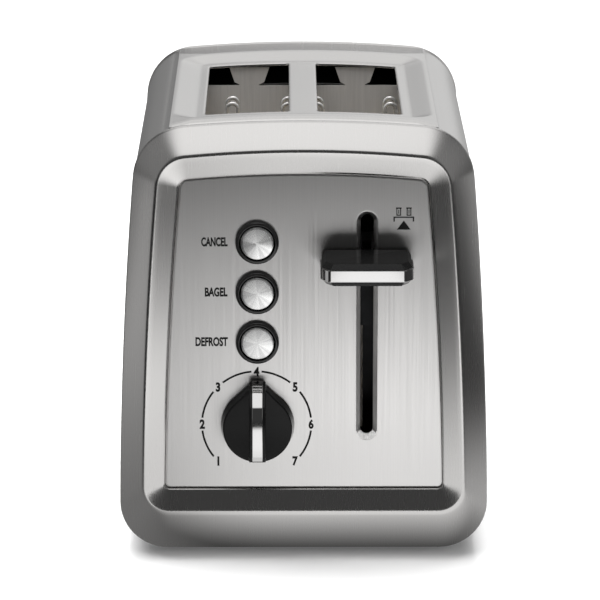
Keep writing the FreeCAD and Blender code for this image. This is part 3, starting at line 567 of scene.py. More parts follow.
def rounded_rect(x0, x1, y0, y1, r, xs=(), ys=(), steps=6):
    """Loop round a rectangle with round corners; straight runs also stop at the given stations."""
    points = []
    along_x = [x for x in xs if x0 + r + 0.5 < x < x1 - r - 0.5]
    along_y = [y for y in ys if y0 + r + 0.5 < y < y1 - r - 0.5]
    runs = ([(x, y1) for x in reversed(along_x)], [(x0, y) for y in reversed(along_y)],
            [(x, y0) for x in along_x], [(x1, y) for y in along_y])
    corners = ((x1 - r, y1 - r, 0), (x0 + r, y1 - r, 90), (x0 + r, y0 + r, 180), (x1 - r, y0 + r, 270))
    for (cx, cy, a0), run in zip(corners, runs):
        for i in range(steps + 1):
            a = math.radians(a0 + 90 * i / steps)
            points.append((cx + r * math.cos(a), cy + r * math.sin(a)))
        points += run
    return points


def slot_loop(x0, x1, grow, xs, ys):
    """Loop round a bread slot between x0 and x1, grow outside its edge."""
    return rounded_rect(x0 - grow, x1 + grow, SLOT_FRONT - grow, SLOT_REAR + grow, SLOT_CORNER + grow, xs, ys)


def wrap_top(half, xs, ys, lip):
    """Pressed top of the wrap between x = -half and half: verts, faces, side columns and slot loops."""
    points, edges = [], []

    def add_loop(loop):
        base = len(points)
        points.extend(Vector(p) for p in loop)
        edges.extend((base + k, base + (k + 1) % len(loop)) for k in range(len(loop)))
        return base

    border = [(-half, y) for y in ys] + [(x, ys[-1]) for x in xs[1:]]
    border += [(half, y) for y in reversed(ys[:-1])] + [(x, ys[0]) for x in reversed(xs[1:-1])]
    add_loop(border)
    left = list(range(len(ys)))
    right_start = len(ys) + len(xs) - 2
    right = list(reversed(range(right_start, right_start + len(ys))))
    shares = [-BEND, -BEND / 2, 0.0, BEND / 2, BEND, 0.3, 0.5, 0.7]
    shares += [1 - BEND, 1 - BEND / 2, 1.0, 1 + BEND / 2, 1 + BEND]
    for share in shares:
        d = share * BEVEL
        add_loop(rounded_rect(-RECESS_HALF + d, RECESS_HALF - d, RECESS_FRONT + d, RECESS_REAR - d,
                              RECESS_CORNER - d, xs, ys, 10))
    slots = []
    for side in (-1, 1):
        x0, x1 = sorted((side * SLOT_IN, side * SLOT_OUT))
        for grow in (lip, lip + 0.5):
            loop = slot_loop(x0, x1, grow, xs, ys)
            base = add_loop(loop)
            if grow == lip:
                slots.append((base, len(loop), x0, x1))
    flat, _, tris, origin, _, _ = delaunay_2d_cdt(points, edges, [], 0, 1e-4)
    faces = []
    for tri in tris:
        cx = sum(flat[v].x for v in tri) / 3
        cy = sum(flat[v].y for v in tri) / 3
        y0, y1, corner = SLOT_FRONT - lip, SLOT_REAR + lip, SLOT_CORNER + lip
        if not any(in_round(cx, cy, x0 - lip, x1 + lip, y0, y1, corner) for _, _, x0, x1 in slots):
            faces.append(tuple(tri))
    verts = [(p.x, p.y, arch_z(p.x) - sink(p.x, p.y)) for p in flat]
    where = {old: new for new, olds in enumerate(origin) for old in olds}
    columns = {-1: [where[i] for i in left], 1: [where[i] for i in right]}
    rims = [([where[base + k] for k in range(count)], x0, x1) for base, count, x0, x1 in slots]
    return verts, faces, columns, rims


def make_wrap():
    y0 = FRONT_JOINT + 0.2
    y1 = REAR_JOINT - 0.03
    ring = outline(inset(OUTER, WRAP_STEP))
    half = RECESS_HALF + 1.6
    xs = [-half] + [float(x) for x in range(-56, 57, 4)] + [half]
    ys = [y0, y0 + 1] + [float(y) for y in range(-75, 105, 9)] + [y1 - 1, y1]
    lip = 0.9
    verts, faces, columns, rims = wrap_top(half, xs, ys, lip)
    # rolled edge round each slot
    for last, x0, x1 in rims:
        rim_z = [verts[v][2] for v in last]
        for grow, drop in ((0.42, 0.10), (0.14, 0.38), (0.0, 0.85), (0.0, 1.25)):
            loop = slot_loop(x0, x1, grow, xs, ys)
            start = len(verts)
            verts += [(p[0], p[1], rim_z[k] - drop) for k, p in enumerate(loop)]
            faces += [(last[k], last[(k + 1) % len(loop)], start + (k + 1) % len(loop), start + k)
                      for k in range(len(loop))]
            last = list(range(start, start + len(loop)))
    # sides: from the top's edge round the corner and down
    side_path = sorted((p for p in ring if p[0] > half and p[1] > 14.2), key=lambda p: p[1])
    run = [side_at(ring, 14.0)] + side_path
    for side in (1, -1):
        last = columns[side]
        for x, z in reversed(run):
            start = len(verts)
            verts += [(side * x, y, z) for y in ys]
            faces += [(last[k], last[k + 1], start + k + 1, start + k) for k in range(len(ys) - 1)]
            last = list(range(start, start + len(ys)))
    obj = piece("wrap_shell", (verts, faces), wrap_steel, stands_for=["body_wrap"], angle=50)
    up = sum(p.normal.z * p.area for p in obj.data.polygons if abs(p.center.x) < 0.05)
    if up < 0:
        obj.data.flip_normals()
    face_uv(obj, "y")
    sheet = obj.modifiers.new("sheet", "SOLIDIFY")
    sheet.thickness = 0.8 * MM
    sheet.offset = -1.0
    # inner side of the wrap sheet: near-black painted shade
    obj.data.materials.append(painted_inside_shade)
    sheet.material_offset = 1


def side_at(ring, height):
    """Half width of the outline's side at a height, on its right."""
    right = sorted((p for p in ring if p[0] > 0), key=lambda p: p[1])
    for a, b in zip(right, right[1:]):
        if a[1] <= height <= b[1] and b[1] > a[1] and a[0] > 60:
            t = (height - a[1]) / (b[1] - a[1])
            return a[0] * (1 - t) + b[0] * t, height
    return right[0]


def in_round(x, y, x0, x1, y0, y1, r):
    """True if a point is inside a rectangle with round corners."""
    dx = max(x0 + r - x, 0, x - (x1 - r))
    dy = max(y0 + r - y, 0, y - (y1 - r))
    return dx * dx + dy * dy < r * r


# ---- control panel ----
def cap_between(outer, inner, holes=()):
    """Flat face between an outer loop and an inner loop with round holes (x, z, r), all facing along Y."""
    points = [Vector((p[0], p[2])) for p in outer] + [Vector((p[0], p[2])) for p in inner]
    n, m = len(outer), len(inner)
    edges = [(i, (i + 1) % n) for i in range(n)] + [(n + i, n + (i + 1) % m) for i in range(m)]
    for hx, hz, r in holes:
        first = len(points)
        points += [Vector((hx + r * math.cos(math.pi * i / 24), hz + r * math.sin(math.pi * i / 24)))
                   for i in range(48)]
        edges += [(first + i, first + (i + 1) % 48) for i in range(48)]
    flat, _, tris, _, _, _ = delaunay_2d_cdt(points, edges, [], 0, 1e-5)
    y = outer[0][1]
    cx = sum(p[0] for p in inner) / m
    z0 = min(p[2] for p in inner)
    z1 = max(p[2] for p in inner)
    half = max(p[0] for p in inner) - cx
    box_lo = min(p[0] for p in outer), min(p[2] for p in outer)
    box_hi = max(p[0] for p in outer), max(p[2] for p in outer)
    faces = []
    for tri in tris:
        tx = sum(flat[v].x for v in tri) / 3
        tz = sum(flat[v].y for v in tri) / 3
        if in_round(tx, tz, cx - half, cx + half, z0, z1, half):
            continue
        if any(math.hypot(tx - hx, tz - hz) < r for hx, hz, r in holes):
            continue
        if box_lo[0] <= tx <= box_hi[0] and box_lo[1] <= tz <= box_hi[1]:
            faces.append(tuple(tri))
    return [(p.x, y, p.y) for p in flat], faces


def make_panel():
    o = inset(PANEL, 0.15)
    y = PANEL_FACE
    edge = 0.35
    guard = 0.8                      # flat margin that keeps the face's shading flat up to its edges
    taper = (SLOT_W - THROAT_W) / 2
    outer_front = loop_at(inset(o, edge), y)
    field = loop_at(inset(o, edge + guard), y)
    mouth = lever_slot(0.25, 0.25, SLOT_W + 0.5, y)
    collar = lever_slot(guard, guard, SLOT_W + 2 * guard, y)
    lips = [mouth,
            lever_slot(0.12, 0.12, SLOT_W + 0.24, y + 0.04),
            lever_slot(-0.02, -0.02, SLOT_W - 0.04, y + 0.16),
            lever_slot(-taper - 0.4, 0.1 - taper, THROAT_W + 0.2, y + taper),
            lever_slot(-taper - 0.5, -taper, THROAT_W, y + taper + 0.15),
            lever_slot(-taper - 0.5, -taper, THROAT_W, y + LIP_DEPTH),
            lever_slot(0.9 - taper, 0.9 - taper, THROAT_W + 1.8, y + LIP_DEPTH)]
    parts = [cap_between(field, collar, [(CONTROL_X, z, BUTTON_HOLE_R) for z in BUTTON_Z.values()]),
             loft([collar, mouth]),
             loft([field, outer_front, loop_at(inset(o, 0.1), y + 0.1), loop_at(o, y + edge),
                   loop_at(o, y + 1.5)]),
             loft(lips)]
    obj = piece("control_panel_plate", joined(parts), panel_steel,
                stands_for=["control_panel"], angle=43, turn_out=False)
    merge_close(obj)
    face_front(obj)
    face_uv(obj, "z")
    # painted highlight: the lip faces at the bottom end of the lever slot take the near-white finish in place
    # of the light they catch
    obj.data.materials.append(painted_slot_highlight)
    for poly in obj.data.polygons:
        x, z = poly.center.x / MM, poly.center.z / MM
        painted_highlight_lip = abs(x - SLOT_X) < SLOT_W / 2 + 0.4 and SLOT_LOW - 0.4 < z < SLOT_LOW + 3.6
        if painted_highlight_lip and 0.01 < poly.center.y / MM - PANEL_FACE < taper + 0.1:
            poly.material_index = 1


def merge_close(obj):
    edit_mesh(obj, lambda bm: bmesh.ops.remove_doubles(bm, verts=bm.verts, dist=0.002 * MM))


def face_front(obj):
    """Makes an open panel's faces agree, with the large front face towards -Y."""
    face_out(obj)
    lean = sum(p.normal.y * p.area for p in obj.data.polygons)
    if lean > 0:
        obj.data.flip_normals()


# ---- round controls ----
def lathe(profile, cx, cz, steps=96):
    """Surface turned about an axis along Y. profile is a list of (radius, y)."""
    loops = []
    for r, y in profile:
        turn = [2 * math.pi * i / steps for i in range(steps)]
        loops.append([(cx + r * math.cos(a), y, cz + r * math.sin(a)) for a in turn])
    return loops


def make_ring(name):
    z = BUTTON_Z[name]
    front = RING_LO.y
    r = (RING_HI.x - RING_LO.x) / 2
    bore = 8.1
    profile = [(r - 0.25, PANEL_FACE + 0.3), (r, PANEL_FACE + 0.1), (r, front + 1.3)]
    for i in range(1, 7):
        a = math.radians(15 * i)
        profile.append((r - 1.3 + 1.3 * math.cos(a), front + 1.3 - 1.3 * math.sin(a)))
    profile += [(bore + 0.25, front), (bore + 0.07, front + 0.07), (bore, front + 0.3),
                (bore, PANEL_FACE + 4), (r - 1.6, PANEL_FACE + 4), (r - 1.6, PANEL_FACE + 0.3)]
    shape = loft(lathe(profile, CONTROL_X, z), closed_path=True)
    piece(name + "_ring_trim", shape, ring_black, stands_for=[name + "_ring"])


def make_cap(name):
    z = BUTTON_Z[name]
    lo, hi = cad(name + "_cap")
    r = (hi.x - lo.x) / 2
    front = lo.y
    dome = 60.0
    profile = [(r - 0.5, hi.y), (r, hi.y - 0.2)]
    edge_y = front + (r * r) / (2 * dome)
    profile += [(r, edge_y + 0.35), (r - 0.08, edge_y + 0.12), (r - 0.3, edge_y - 0.02)]
    for k in (0.85, 0.7, 0.55, 0.4, 0.25, 0.1):
        rk = r * k
        profile.append((rk, front + rk * rk / (2 * dome)))
    shape = loft(lathe(profile, CONTROL_X, z), cap_start=True, cap_end=True)
    obj = piece(name + "_cap_disc", shape, spun_metal_painted_sheen(name + "_spun_painted_sheen", CONTROL_X, z),
                body=name + "_button", stands_for=[name + "_cap"])
    # brush map in polar form, so that the scratches run round the disc
    mesh = obj.data
    layer = mesh.uv_layers.new(name="brush")
    for poly in mesh.polygons:
        centre = math.atan2(poly.center.z - z * MM, poly.center.x - CONTROL_X * MM)
        for li in poly.loop_indices:
            co = mesh.vertices[mesh.loops[li].vertex_index].co
            dx, dz = co.x - CONTROL_X * MM, co.z - z * MM
            a = math.atan2(dz, dx)
            while a - centre > math.pi:
                a -= 2 * math.pi
            while a - centre < -math.pi:
                a += 2 * math.pi
            layer.data[li].uv = (a, math.hypot(dx, dz) * 40)


def pointer(r, tip, y, steps=72):
    """Knob outline at depth y: a circle that flares in hollow curves to a narrow nose."""
    join_x = 0.707 * r
    join_z = math.sqrt(r * r - join_x * join_x)
    nose_x, nose_z = 4.2, tip - 2.5
    a0 = math.atan2(join_z, join_x)
    points = []
    for i in range(steps + 1):
        a = math.pi - a0 + (math.pi + 2 * a0) * i / steps
        points.append((r * math.cos(a), r * math.sin(a)))
    hollow = 0.2                     # how far the flare's control point lies inside a straight line
    bend = (join_x + nose_x) / 2 - hollow, (join_z + nose_z) / 2 - hollow
    flare = [curve((join_x, join_z), bend, (nose_x, nose_z), i / 11) for i in range(1, 11)]
    nose = []
    for i in range(13):
        t = i / 12
        x = nose_x * (1 - 2 * t)
        bulge = 1 - (x / nose_x) ** 2
        nose.append((x * 0.93, nose_z + (tip - nose_z) * bulge ** 0.38))
    points += flare + nose + [(-x, z) for x, z in reversed(flare)]
    return [(CONTROL_X + px, y, DIAL_Z + pz) for px, pz in points]


def shrink(loop, d, cx, cz):
    """Moves a loop's points towards a centre by d."""
    out = []
    for x, y, z in loop:
        v = Vector((x - cx, z - cz))
        n = v.normalized() * max(0.0, v.length - d)
        out.append((cx + n.x, y, cz + n.y))
    return out


def make_knob():
    rear = KNOB_HI.y
    front = rear - 7.5
    r = (KNOB_HI.x - KNOB_LO.x) / 2
    tip = KNOB_HI.z - DIAL_Z
    loops = [pointer(r - 0.5, tip - 0.5, rear), pointer(r, tip, rear - 0.4)]
    for t in (0.3, 0.6):
        loops.append(pointer(r - 1.0 * t, tip - 0.5 * t, rear + (front - rear) * t))
    edge = 0.7
    for i in range(0, 7):
        a = math.radians(15 * i)
        cut = edge * (1 - math.cos(a))
        y = front + edge - edge * math.sin(a)
        loops.append(shrink(pointer(r - 0.95, tip - 0.45, y), cut, CONTROL_X, DIAL_Z))
    piece("knob_skirt", loft(loops, cap_start=True, cap_end=True), gloss, body="shade_knob",
          stands_for=["knob_body"], angle=42)
    side_prism("knob_grip", front, 3.8, 0.0, 0.0, gloss, 0.55)
    insert = side_prism("knob_insert_strip", front, 2.45, 0.35, 0.4, polished, 0.35)
    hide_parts("knob_insert")


def grip_points(front, proud, trim):
    """Side view (y, z) of the grip ridge from its foot over the crest to the nose."""
    crest = front - 12.7 - proud
    low = -12.4 + trim
    crown, flattest = 130.0, -7.0      # radius of the crest's crown, and where it is furthest out
    points = [(front + 1.0, -14.8 + trim), (crest + 1.5, low), (crest, low + 2.2)]
    points += [(crest + (z - flattest) ** 2 / (2 * crown), z) for z in (-7.0, -4.0, -1.0, 2.0, 5.0)]
    a, b, c = (crest + 0.80, 7.2), (crest + 1.25, 10.8), (crest + 3.2, 13.2)
    points += [curve(a, b, c, i / 8) for i in range(9)]
    nose = KNOB_HI.z - DIAL_Z
    points += [(front - 1.4 - proud, nose - 1.0 + proud), (front + 0.6, nose - 0.3 + proud),
               (front + 6.0, nose - 0.2 + proud)]
    points += [(front + 6.0, 12.0), (front + 1.0, 8.0)]
    return points


def side_prism(name, front, half, proud, trim, material, round_off):
    side = grip_points(front, proud, trim)
    n = len(side)
    verts = [(CONTROL_X + x, y, DIAL_Z + z) for x in (-half, half) for y, z in side]
    faces = [tuple(range(n)), tuple(range(2 * n - 1, n - 1, -1))]
    faces += [(i, (i + 1) % n, n + (i + 1) % n, n + i) for i in range(n)]
    obj = piece(name, (verts, faces), material, body="shade_knob", angle=30)
    soften(obj, round_off, 3)
    return obj


def soften(obj, width, segments=2):
    """Rounded edges with even shading."""
    bevel = obj.modifiers.new("edges", "BEVEL")
    bevel.width = width * MM
    bevel.segments = segments
    bevel.limit_method = "ANGLE"
    bevel.angle_limit = math.radians(30)
    bevel.harden_normals = True
    bevel.use_clamp_overlap = True


# ---- lever ----
def lever_plan(cx, half, rear, front, corner, z):
    side = 0.7 * corner
    plan = [(cx - half, rear), (cx - half, front + corner), (cx - half + side, front),
            (cx + half - side, front), (cx + half, front + corner), (cx + half, rear)]
    points = []
    count = len(plan)
    for i, p in enumerate(plan):
        a, b = Vector(plan[i - 1]), Vector(plan[(i + 1) % count])
        p = Vector(p)
        r = 1.0 if 0 < i < count - 1 else 0.4
        p0 = p + (a - p).normalized() * r
        p1 = p + (b - p).normalized() * r
        points += [(*curve(p0, p, p1, k / 5), z) for k in range(6)]
    return points


def make_lever():
    lo, hi = cad("lever_knob")
    cx = (LEVER_LO.x + LEVER_HI.x) / 2
    rear = hi.y
    half = (hi.x - lo.x) / 2
    body_front = LEVER_LO.y + 0.8
    trim_low, trim_high = LEVER_LO.z, LEVER_HI.z
    stations = [(lo.z, 2.0, 0.3), (lo.z + 0.12, 1.7, 0.1), (trim_low - 0.1, 0.25, 0), (trim_low, 0.12, 0),
                (trim_high, 0.12, 0), (trim_high + 0.1, 0.25, 0), (hi.z - 0.22, 1.62, 0.05),
                (hi.z - 0.05, 1.95, 0.18), (hi.z, 2.35, 0.4)]
    loops = [lever_plan(cx, half - d, rear - b, body_front + d, 5.0, z) for z, d, b in stations]
    piece("lever_grip", loft(loops, cap_start=True, cap_end=True), gloss, body="carriage",
          stands_for=["lever_knob"], angle=28)
    stations = [(trim_low, 0.5), (trim_low + 0.12, 0.2), (trim_low + 0.45, 0.0), (trim_high - 0.45, 0.0),
                (trim_high - 0.12, 0.2), (trim_high, 0.5)]
    outer = [lever_plan(cx, half + 0.6 - d, rear - 9, LEVER_LO.y + d, 5.2, z) for z, d in stations]
    inner = [lever_plan(cx, half - 0.5, rear - 9, body_front + 0.9, 5.0, z)
             for z in (trim_high - 0.1, trim_low + 0.1)]
    piece("lever_band", loft(outer + inner, closed_path=True), polished, body="carriage",
          stands_for=["lever_trim"], angle=28)


def make_spring():
    """Coiled spring from the bracket's hook to the carriage's."""
    lo, hi = cad("return_spring")
    cx, cy = (lo.x + hi.x) / 2, (lo.y + hi.y) / 2
    wire_r, turns, per_turn, sides = 0.45, 22, 20, 8
    r = (hi.x - lo.x) / 2 - wire_r
    loops = []
    for i in range(turns * per_turn + 1):
        a = 2 * math.pi * i / per_turn
        z = lo.z + wire_r + (hi.z - lo.z - 2 * wire_r) * i / (turns * per_turn)
        ring = [(r + wire_r * math.cos(b), wire_r * math.sin(b))
                for b in (2 * math.pi * k / sides for k in range(sides))]
        loops.append([(cx + d * math.cos(a), cy + d * math.sin(a), z + up) for d, up in ring])
    obj = piece("return_spring_coil", loft(loops, cap_start=True, cap_end=True), spring_wire, body=None,
                stands_for=["return_spring"], angle=180)
    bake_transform(obj)


# ---- printing ----
PRINT_Y = PANEL_FACE - 0.04


def lettering(name, text, size, x, z, align, narrow, weight):
    """Plain printed lettering as thin geometry just proud of the panel; z is its middle."""
    font = bpy.data.curves.new(name, "FONT")
    font.body = text
    font.size = 10.0
    font.align_x = "LEFT"
    font.bevel_depth = weight
    font.bevel_resolution = 0
    probe = bpy.data.objects.new(name + "_outline", font)
    bpy.context.scene.collection.objects.link(probe)
    graph = bpy.context.evaluated_depsgraph_get()
    mesh = bpy.data.meshes.new_from_object(probe.evaluated_get(graph))
    bpy.data.objects.remove(probe)
    co = [v.co.copy() for v in mesh.vertices]
    x0, x1 = min(c.x for c in co), max(c.x for c in co)
    y0, y1 = min(c.y for c in co), max(c.y for c in co)
    scale = size / (y1 - y0)
    width = (x1 - x0) * scale * narrow
    start = x - width / 2 if align == "CENTER" else x - width
    flat = [(start + (c.x - x0) * scale * narrow, PRINT_Y - 0.02 * c.z / weight,
             z + (c.y - (y0 + y1) / 2) * scale) for c in co]
    tris = [tuple(p.vertices) for p in mesh.polygons]
    bpy.data.meshes.remove(mesh)
    return flat, tris


def stroke_arc(cx, cz, r, width, a0, a1, steps=24):
    verts, faces = [], []
    for i in range(steps + 1):
        a = math.radians(a0 + (a1 - a0) * i / steps)
        for rr in (r - width / 2, r + width / 2):
            verts.append((cx + rr * math.cos(a), PRINT_Y, cz + rr * math.sin(a)))
    for i in range(steps):
        faces.append((2 * i, 2 * i + 1, 2 * i + 3, 2 * i + 2))
    return verts, faces


def patch(points):
    return [(x, PRINT_Y, z) for x, z in points], [tuple(range(len(points)))]


def bar(x0, x1, z0, z1):
    return patch([(x0, z0), (x1, z0), (x1, z1), (x0, z1)])


def printed(name, parts):
    piece(name, joined(parts), ink, turn_out=False)


def make_printing():
    for word, right, width in (("CANCEL", -34.3, 11.9), ("BAGEL", -34.5, 10.2), ("DEFROST", -34.4, 14.7)):
        z = BUTTON_Z[word.lower()] + 0.1
        verts, faces = lettering(word, word, 4.3, right, z, "RIGHT", 1.0, 0.42)
        x0 = min(v[0] for v in verts)
        squeeze = width / (right - x0)
        verts = [(right + (v[0] - right) * squeeze, v[1], v[2]) for v in verts]
        printed("print_" + word.lower(), [(verts, faces)])
    cx = CONTROL_X - 0.45
    parts = []
    for i in range(7):
        text = str(i + 1)
        a = math.radians(225 - 45 * i)
        r = 24.8
        parts.append(lettering("n" + text, text, 4.5, cx + r * math.cos(a), DIAL_Z + r * math.sin(a),
                               "CENTER", 0.8, 0.50))
    printed("print_dial_numbers", parts)
    gap = [7.0, 7.0, 7.0, 5.3, 7.0, 7.0, 7.0]      # degrees left free each side of a number
    parts = []
    for i in range(6):
        start = 225 - 45 * i - gap[i]
        stop = 225 - 45 * (i + 1) + gap[i + 1]
        parts.append(stroke_arc(cx, DIAL_Z, 24.9, 0.9, start, stop))
    printed("print_dial_arcs", parts)
    ix = 45.0
    parts = [patch([(ix - 3.1, 155.3), (ix + 3.1, 155.3), (ix, 159.5)])]
    parts += [bar(ix - 4.65, ix + 4.65, 160.7, 161.3), bar(ix - 4.65, ix - 4.05, 159.0, 160.7),
              bar(ix + 4.05, ix + 4.65, 159.0, 160.7)]
    for x in (ix - 2.3, ix + 2.3):
        parts += [bar(x - 1.05, x + 1.05, 161.7, 162.2), bar(x - 1.05, x - 0.6, 162.2, 164.9),
                  bar(x + 0.6, x + 1.05, 162.2, 164.9), bar(x - 1.25, x + 1.25, 164.9, 165.5),
                  bar(x - 0.2, x + 0.2, 162.6, 164.5)]
    printed("print_lift_mark", parts)


# ---- carried-over CAD nodes ----
def dress(node, material, edge=0.0, angle=30.0):
    """Gives a CAD node its material, smooth shading and, where it is simple, softened edges."""
    obj = NODES[node]
    obj.data.materials.clear()
    obj.data.materials.append(material)
    obj.data.polygons.foreach_set("use_smooth", [True] * len(obj.data.polygons))
    obj.data.set_sharp_from_angle(angle=math.radians(angle))
    if edge:
        soften(obj, edge)


def make_inside():
    sheet = plated("plated_sheet", (0.55, 0.55, 0.54), 0.28, 90.0)
    chamber = brushed("chamber_sheet", (0.66, 0.64, 0.62), 0.5, (900, 900, 30), aniso=0.0, contrast=0.10,
                      metallic=0.3)
    zinc = plated("zinc_plate", (0.5, 0.5, 0.49), 0.3, 300.0, 0.15)
    wire = plated("plated_wire", (0.85, 0.84, 0.82), 0.18, 150.0, 0.08, metallic=0.7)
    mica = plastic("mica_board", (0.50, 0.44, 0.34), 0.45, grain=250.0, depth=0.05, variation=0.3)
    ribbon = plated("heater_ribbon", (0.33, 0.31, 0.30), 0.45, 200.0, 0.25)
    iron = plated("core_iron", (0.20, 0.20, 0.20), 0.5, 200.0, 0.2)
    copper = plated("copper_winding", (0.60, 0.22, 0.08), 0.3, 400.0, 0.2)
    brass = plated("turned_brass", (0.75, 0.58, 0.25), 0.25, 150.0)
    board = plastic("board_laminate", (0.02, 0.16, 0.06), 0.3, coat=0.3, variation=0.2)
    relay = plastic("relay_case", (0.03, 0.10, 0.35), 0.3, coat=0.2)
    pot = plated("pot_case", (0.55, 0.55, 0.54), 0.3, 200.0)
    blued = plated("blued_sheet", (0.05, 0.05, 0.052), 0.42, 90.0, 0.2)
    rear = brushed("rear_steel", STEEL, 0.30, (2600, 2600, 14), aniso=0.0)
    finishes = (
        (sheet, 0.15, ["armature", "bread_rack_left", "bread_rack_right", "rod_bracket", "crumb_tray"]),
        (blued, 0.1, ["carriage_bracket", "lever_arm", "chamber_front_plate"]),
        (chamber, 0.1, ["chamber_rear_plate", "reflector_left", "reflector_right"]),
        (zinc, 0.0, ["base_screws", "rear_screws", "pcb_screws"]),
        (matt, 0.3, ["carriage_slider"]),
        (matt, 0.25, ["panel_carrier", "rear_frame", "base_frame", "tray_pull", "cord_inlet"]),
        (matt, 0.2, [name + "_plunger" for name in BUTTON_Z]),
        (matt, 0.15, ["button_switches"]),
        (polished, 0.2, ["guide_rods"]),
        (mica, 0.1, ["heater_boards"]),
        (ribbon, 0.0, ["heater_ribbons"]),
        (iron, 0.15, ["magnet_core"]),
        (copper, 0.2, ["magnet_coil"]),
        (brass, 0.15, ["knob_shaft"]),
        (board, 0.1, ["circuit_board"]),
        (relay, 0.0, ["power_relay"]),
        (pot, 0.2, ["shade_potentiometer"]),
        (rubber, 0.4, ["feet"]),
        (rear, 0.15, ["rear_panel"]),
    )
    for material, edge, nodes in finishes:
        for node in nodes:
            dress(node, material, edge)
    for guard in ("left_outer", "left_inner", "right_inner", "right_outer"):
        dress(f"guard_{guard}_uprights", wire, angle=45)
        dress(f"guard_{guard}_bars", wire, angle=45)


# ---- studio ----
def make_camera():
    """Long lens in front of the toaster and a little above it."""
    place = (-0.00807, -1.80193, 0.55645)
    tilt, turn = 75.7565, -0.2136        # degrees up from looking straight down, and about +Z
    data = bpy.data.cameras.new("camera")
    data.lens = 234.0
    data.sensor_width = 36.0
    data.clip_end = 50.0
    cam = bpy.data.objects.new("camera", data)
    cam.location = place
    cam.rotation_euler = (math.radians(tilt), 0.0, math.radians(turn))
    bpy.context.scene.collection.objects.link(cam)
    bpy.context.scene.camera = cam


def soft_box(name, location, aim, size, power):
    """Area light that lights surfaces but isn't seen in reflections."""
    data = bpy.data.lights.new(name, "AREA")
    data.shape = "RECTANGLE"
    data.size, data.size_y = size
    data.energy = power
    obj = bpy.data.objects.new(name, data)
    obj.location = location
    obj.rotation_euler = (Vector(aim) - Vector(location)).to_track_quat("-Z", "Y").to_euler()
    obj.visible_glossy = False
    obj.visible_camera = False
    bpy.context.scene.collection.objects.link(obj)


def ramp(value, start, stop, low, high):
    """Smooth step from low to high as the value goes from start to stop."""
    return remap(value, low, high, start, stop, "SMOOTHSTEP")


def patch_light(direction, aim, inner, outer, value):
    """Soft round patch of sky: full within inner degrees of aim and gone beyond outer."""
    dot = vector_maths("DOT_PRODUCT", direction, Vector(aim).normalized())
    edges = [math.cos(math.radians(angle)) for angle in (outer, inner)]
    return ramp(dot, *edges, 0.0, value)


def square(value, centre, radius):
    """Squared distance of a value from a centre, in radii."""
    shifted = maths("MULTIPLY_ADD", value, 1 / radius, -centre / radius)
    return maths("MULTIPLY", shifted, shifted)


def combined(values, operation):
    total = values[0]
    for value in values[1:]:
        total = maths(operation, total, value)
    return total


def product(values):
    return combined(values, "MULTIPLY")


def largest(values):
    return combined(values, "MAXIMUM")


def aim_at(azimuth, elevation):
    """Unit vector; azimuth 0 points to the rear (+Y) and 90 to the right (+X)."""
    a, e = math.radians(azimuth), math.radians(elevation)
    return math.sin(a) * math.cos(e), math.cos(a) * math.cos(e), math.sin(e)


def make_world():
    world = bpy.data.worlds.new("studio")
    bpy.context.scene.world = world
    world.use_nodes = True
    tree = world.node_tree
    tree.nodes.clear()
    coord = tree.nodes.new("ShaderNodeTexCoord")
    direction = coord.outputs["Generated"]
    patches = [                          # direction, inner and outer angle, strength
        (aim_at(180, 88), 17, 34, 1.55),
        (aim_at(4, 50), 12, 34, 1.15),
        (aim_at(26, 8), 9, 38, 0.9),
        (aim_at(7, 19), 5, 19, 1.02),
        (aim_at(-9, 13), 3, 8, 0.80),
        (aim_at(-26, 6), 8, 36, 0.26),
        (aim_at(110, 22), 16, 46, 0.25),
        (aim_at(260, 22), 16, 46, 0.25),
    ]
    total = largest([patch_light(direction, *p) for p in patches])
    ambient = 0.07
    studio = tree.nodes.new("ShaderNodeBackground")
    link(maths("ADD", total, ambient), studio.inputs["Strength"])
    white = tree.nodes.new("ShaderNodeBackground")
    white.inputs["Strength"].default_value = 1.0
    path = tree.nodes.new("ShaderNodeLightPath")
    choose = tree.nodes.new("ShaderNodeMixShader")
    link(path.outputs["Is Camera Ray"], choose.inputs[0])
    link(studio.outputs[0], choose.inputs[1])
    link(white.outputs[0], choose.inputs[2])
    out = tree.nodes.new("ShaderNodeOutputWorld")
    link(choose.outputs[0], out.inputs["Surface"])


def plane(name, x0, x1, y0, y1, z, material):
    mesh = bpy.data.meshes.new(name)
    mesh.from_pydata([(x0, y0, z), (x1, y0, z), (x1, y1, z), (x0, y1, z)], [], [(0, 1, 2, 3)])
    mesh.materials.append(material)
    obj = bpy.data.objects.new(name, mesh)
    bpy.context.scene.collection.objects.link(obj)
    return obj


def make_floor():
    """Pale table that the camera sees."""
    mat, tree, shader = new_material("floor_white")
    shader.inputs["Roughness"].default_value = 0.07
    shader.inputs["IOR"].default_value = 1.45
    shader.inputs["Emission Color"].default_value = (1, 1, 1, 1)
    shader.inputs["Emission Strength"].default_value = 0.12
    tone = noise(object_coords(tree, (1, 1, 1)), 1.5, 2.0)
    link(blend_colour(tone, (0.90, 0.90, 0.90), (0.92, 0.92, 0.92)), shader.inputs["Base Color"])
    floor = plane("floor", -4, 4, -4, 5, 0.0, mat)
    floor.visible_glossy = False


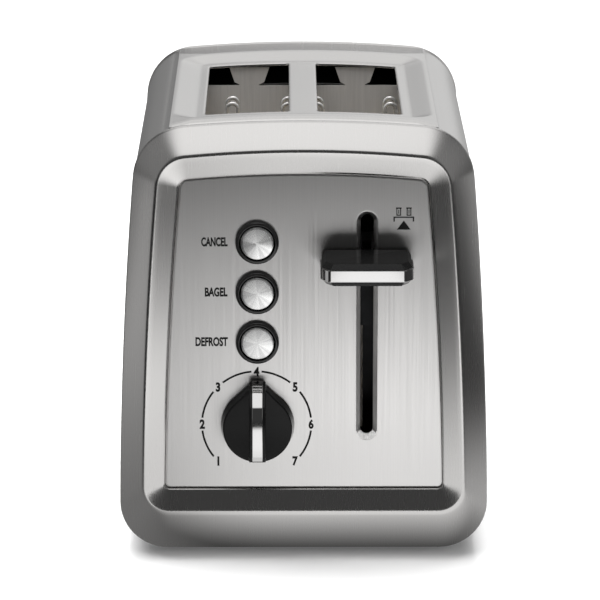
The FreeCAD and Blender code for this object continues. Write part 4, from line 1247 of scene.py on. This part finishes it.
def make_table_glow():
    """What the metal sees of the table: a bright field in front, darker beside it."""
    mat = bpy.data.materials.new("table_glow")
    mat.use_nodes = True
    tree = mat.node_tree
    tree.nodes.clear()
    coord = tree.nodes.new("ShaderNodeTexCoord")
    split = tree.nodes.new("ShaderNodeSeparateXYZ")
    link(coord.outputs["Object"], split.inputs[0])
    x, y = split.outputs["X"], split.outputs["Y"]
    pool = combined([square(x, 0.04, 0.150), square(y, -0.40, 0.44)], "ADD")
    field = product([
        ramp(pool, 0.55, 1.3, 1.50, 0.05), ramp(x, -0.14, 0.0, 0.50, 1.0),
        ramp(y, -0.36, -0.24, 1.0, 0.68), ramp(y, -0.115, -0.078, 1.0, 0.0)])
    right = product([ramp(x, 0.04, 0.14, 0.0, 1.0), ramp(x, 0.18, 0.40, 0.55, 0.05)])
    beside = product([ramp(y, -0.30, -0.10, 0.0, 1.0), ramp(y, 0.12, 0.16, 1.0, 0.0),
                            largest([right, product([ramp(x, -0.75, -0.10, 0.60, 0.24),
                                                                 ramp(x, -0.10, 0.0, 1.0, 0.0)])])])
    behind = product([ramp(y, 0.115, 0.16, 0.0, 1.0), ramp(x, -0.06, 0.06, 0.20, 0.45)])
    glow = tree.nodes.new("ShaderNodeEmission")
    link(largest([field, beside, behind]), glow.inputs["Strength"])
    out = tree.nodes.new("ShaderNodeOutputMaterial")
    link(glow.outputs[0], out.inputs["Surface"])
    table = plane("table_reflection", -3, 3, -3, 3, -0.002, mat)
    table.visible_camera = False
    table.visible_diffuse = False
    table.visible_shadow = False
    table.visible_transmission = False


make_camera()
make_front_bezel()
make_rear_bezel()
make_wrap()
make_panel()
for button in BUTTON_Z:
    make_ring(button)
    make_cap(button)
make_knob()
make_lever()
make_spring()
make_printing()
make_inside()
make_world()
make_floor()
make_table_glow()
soft_box("overhead", (-0.25, 0.25, 1.8), (0, 0, 0), (2.2, 2.0), 84.0)
soft_box("front_fill", (0.5, -2.2, 1.5), (0, 0, 0.15), (1.2, 1.2), 8.0)
bpy.context.scene.view_settings.view_transform = "Standard"
bpy.context.scene.view_settings.look = "None"
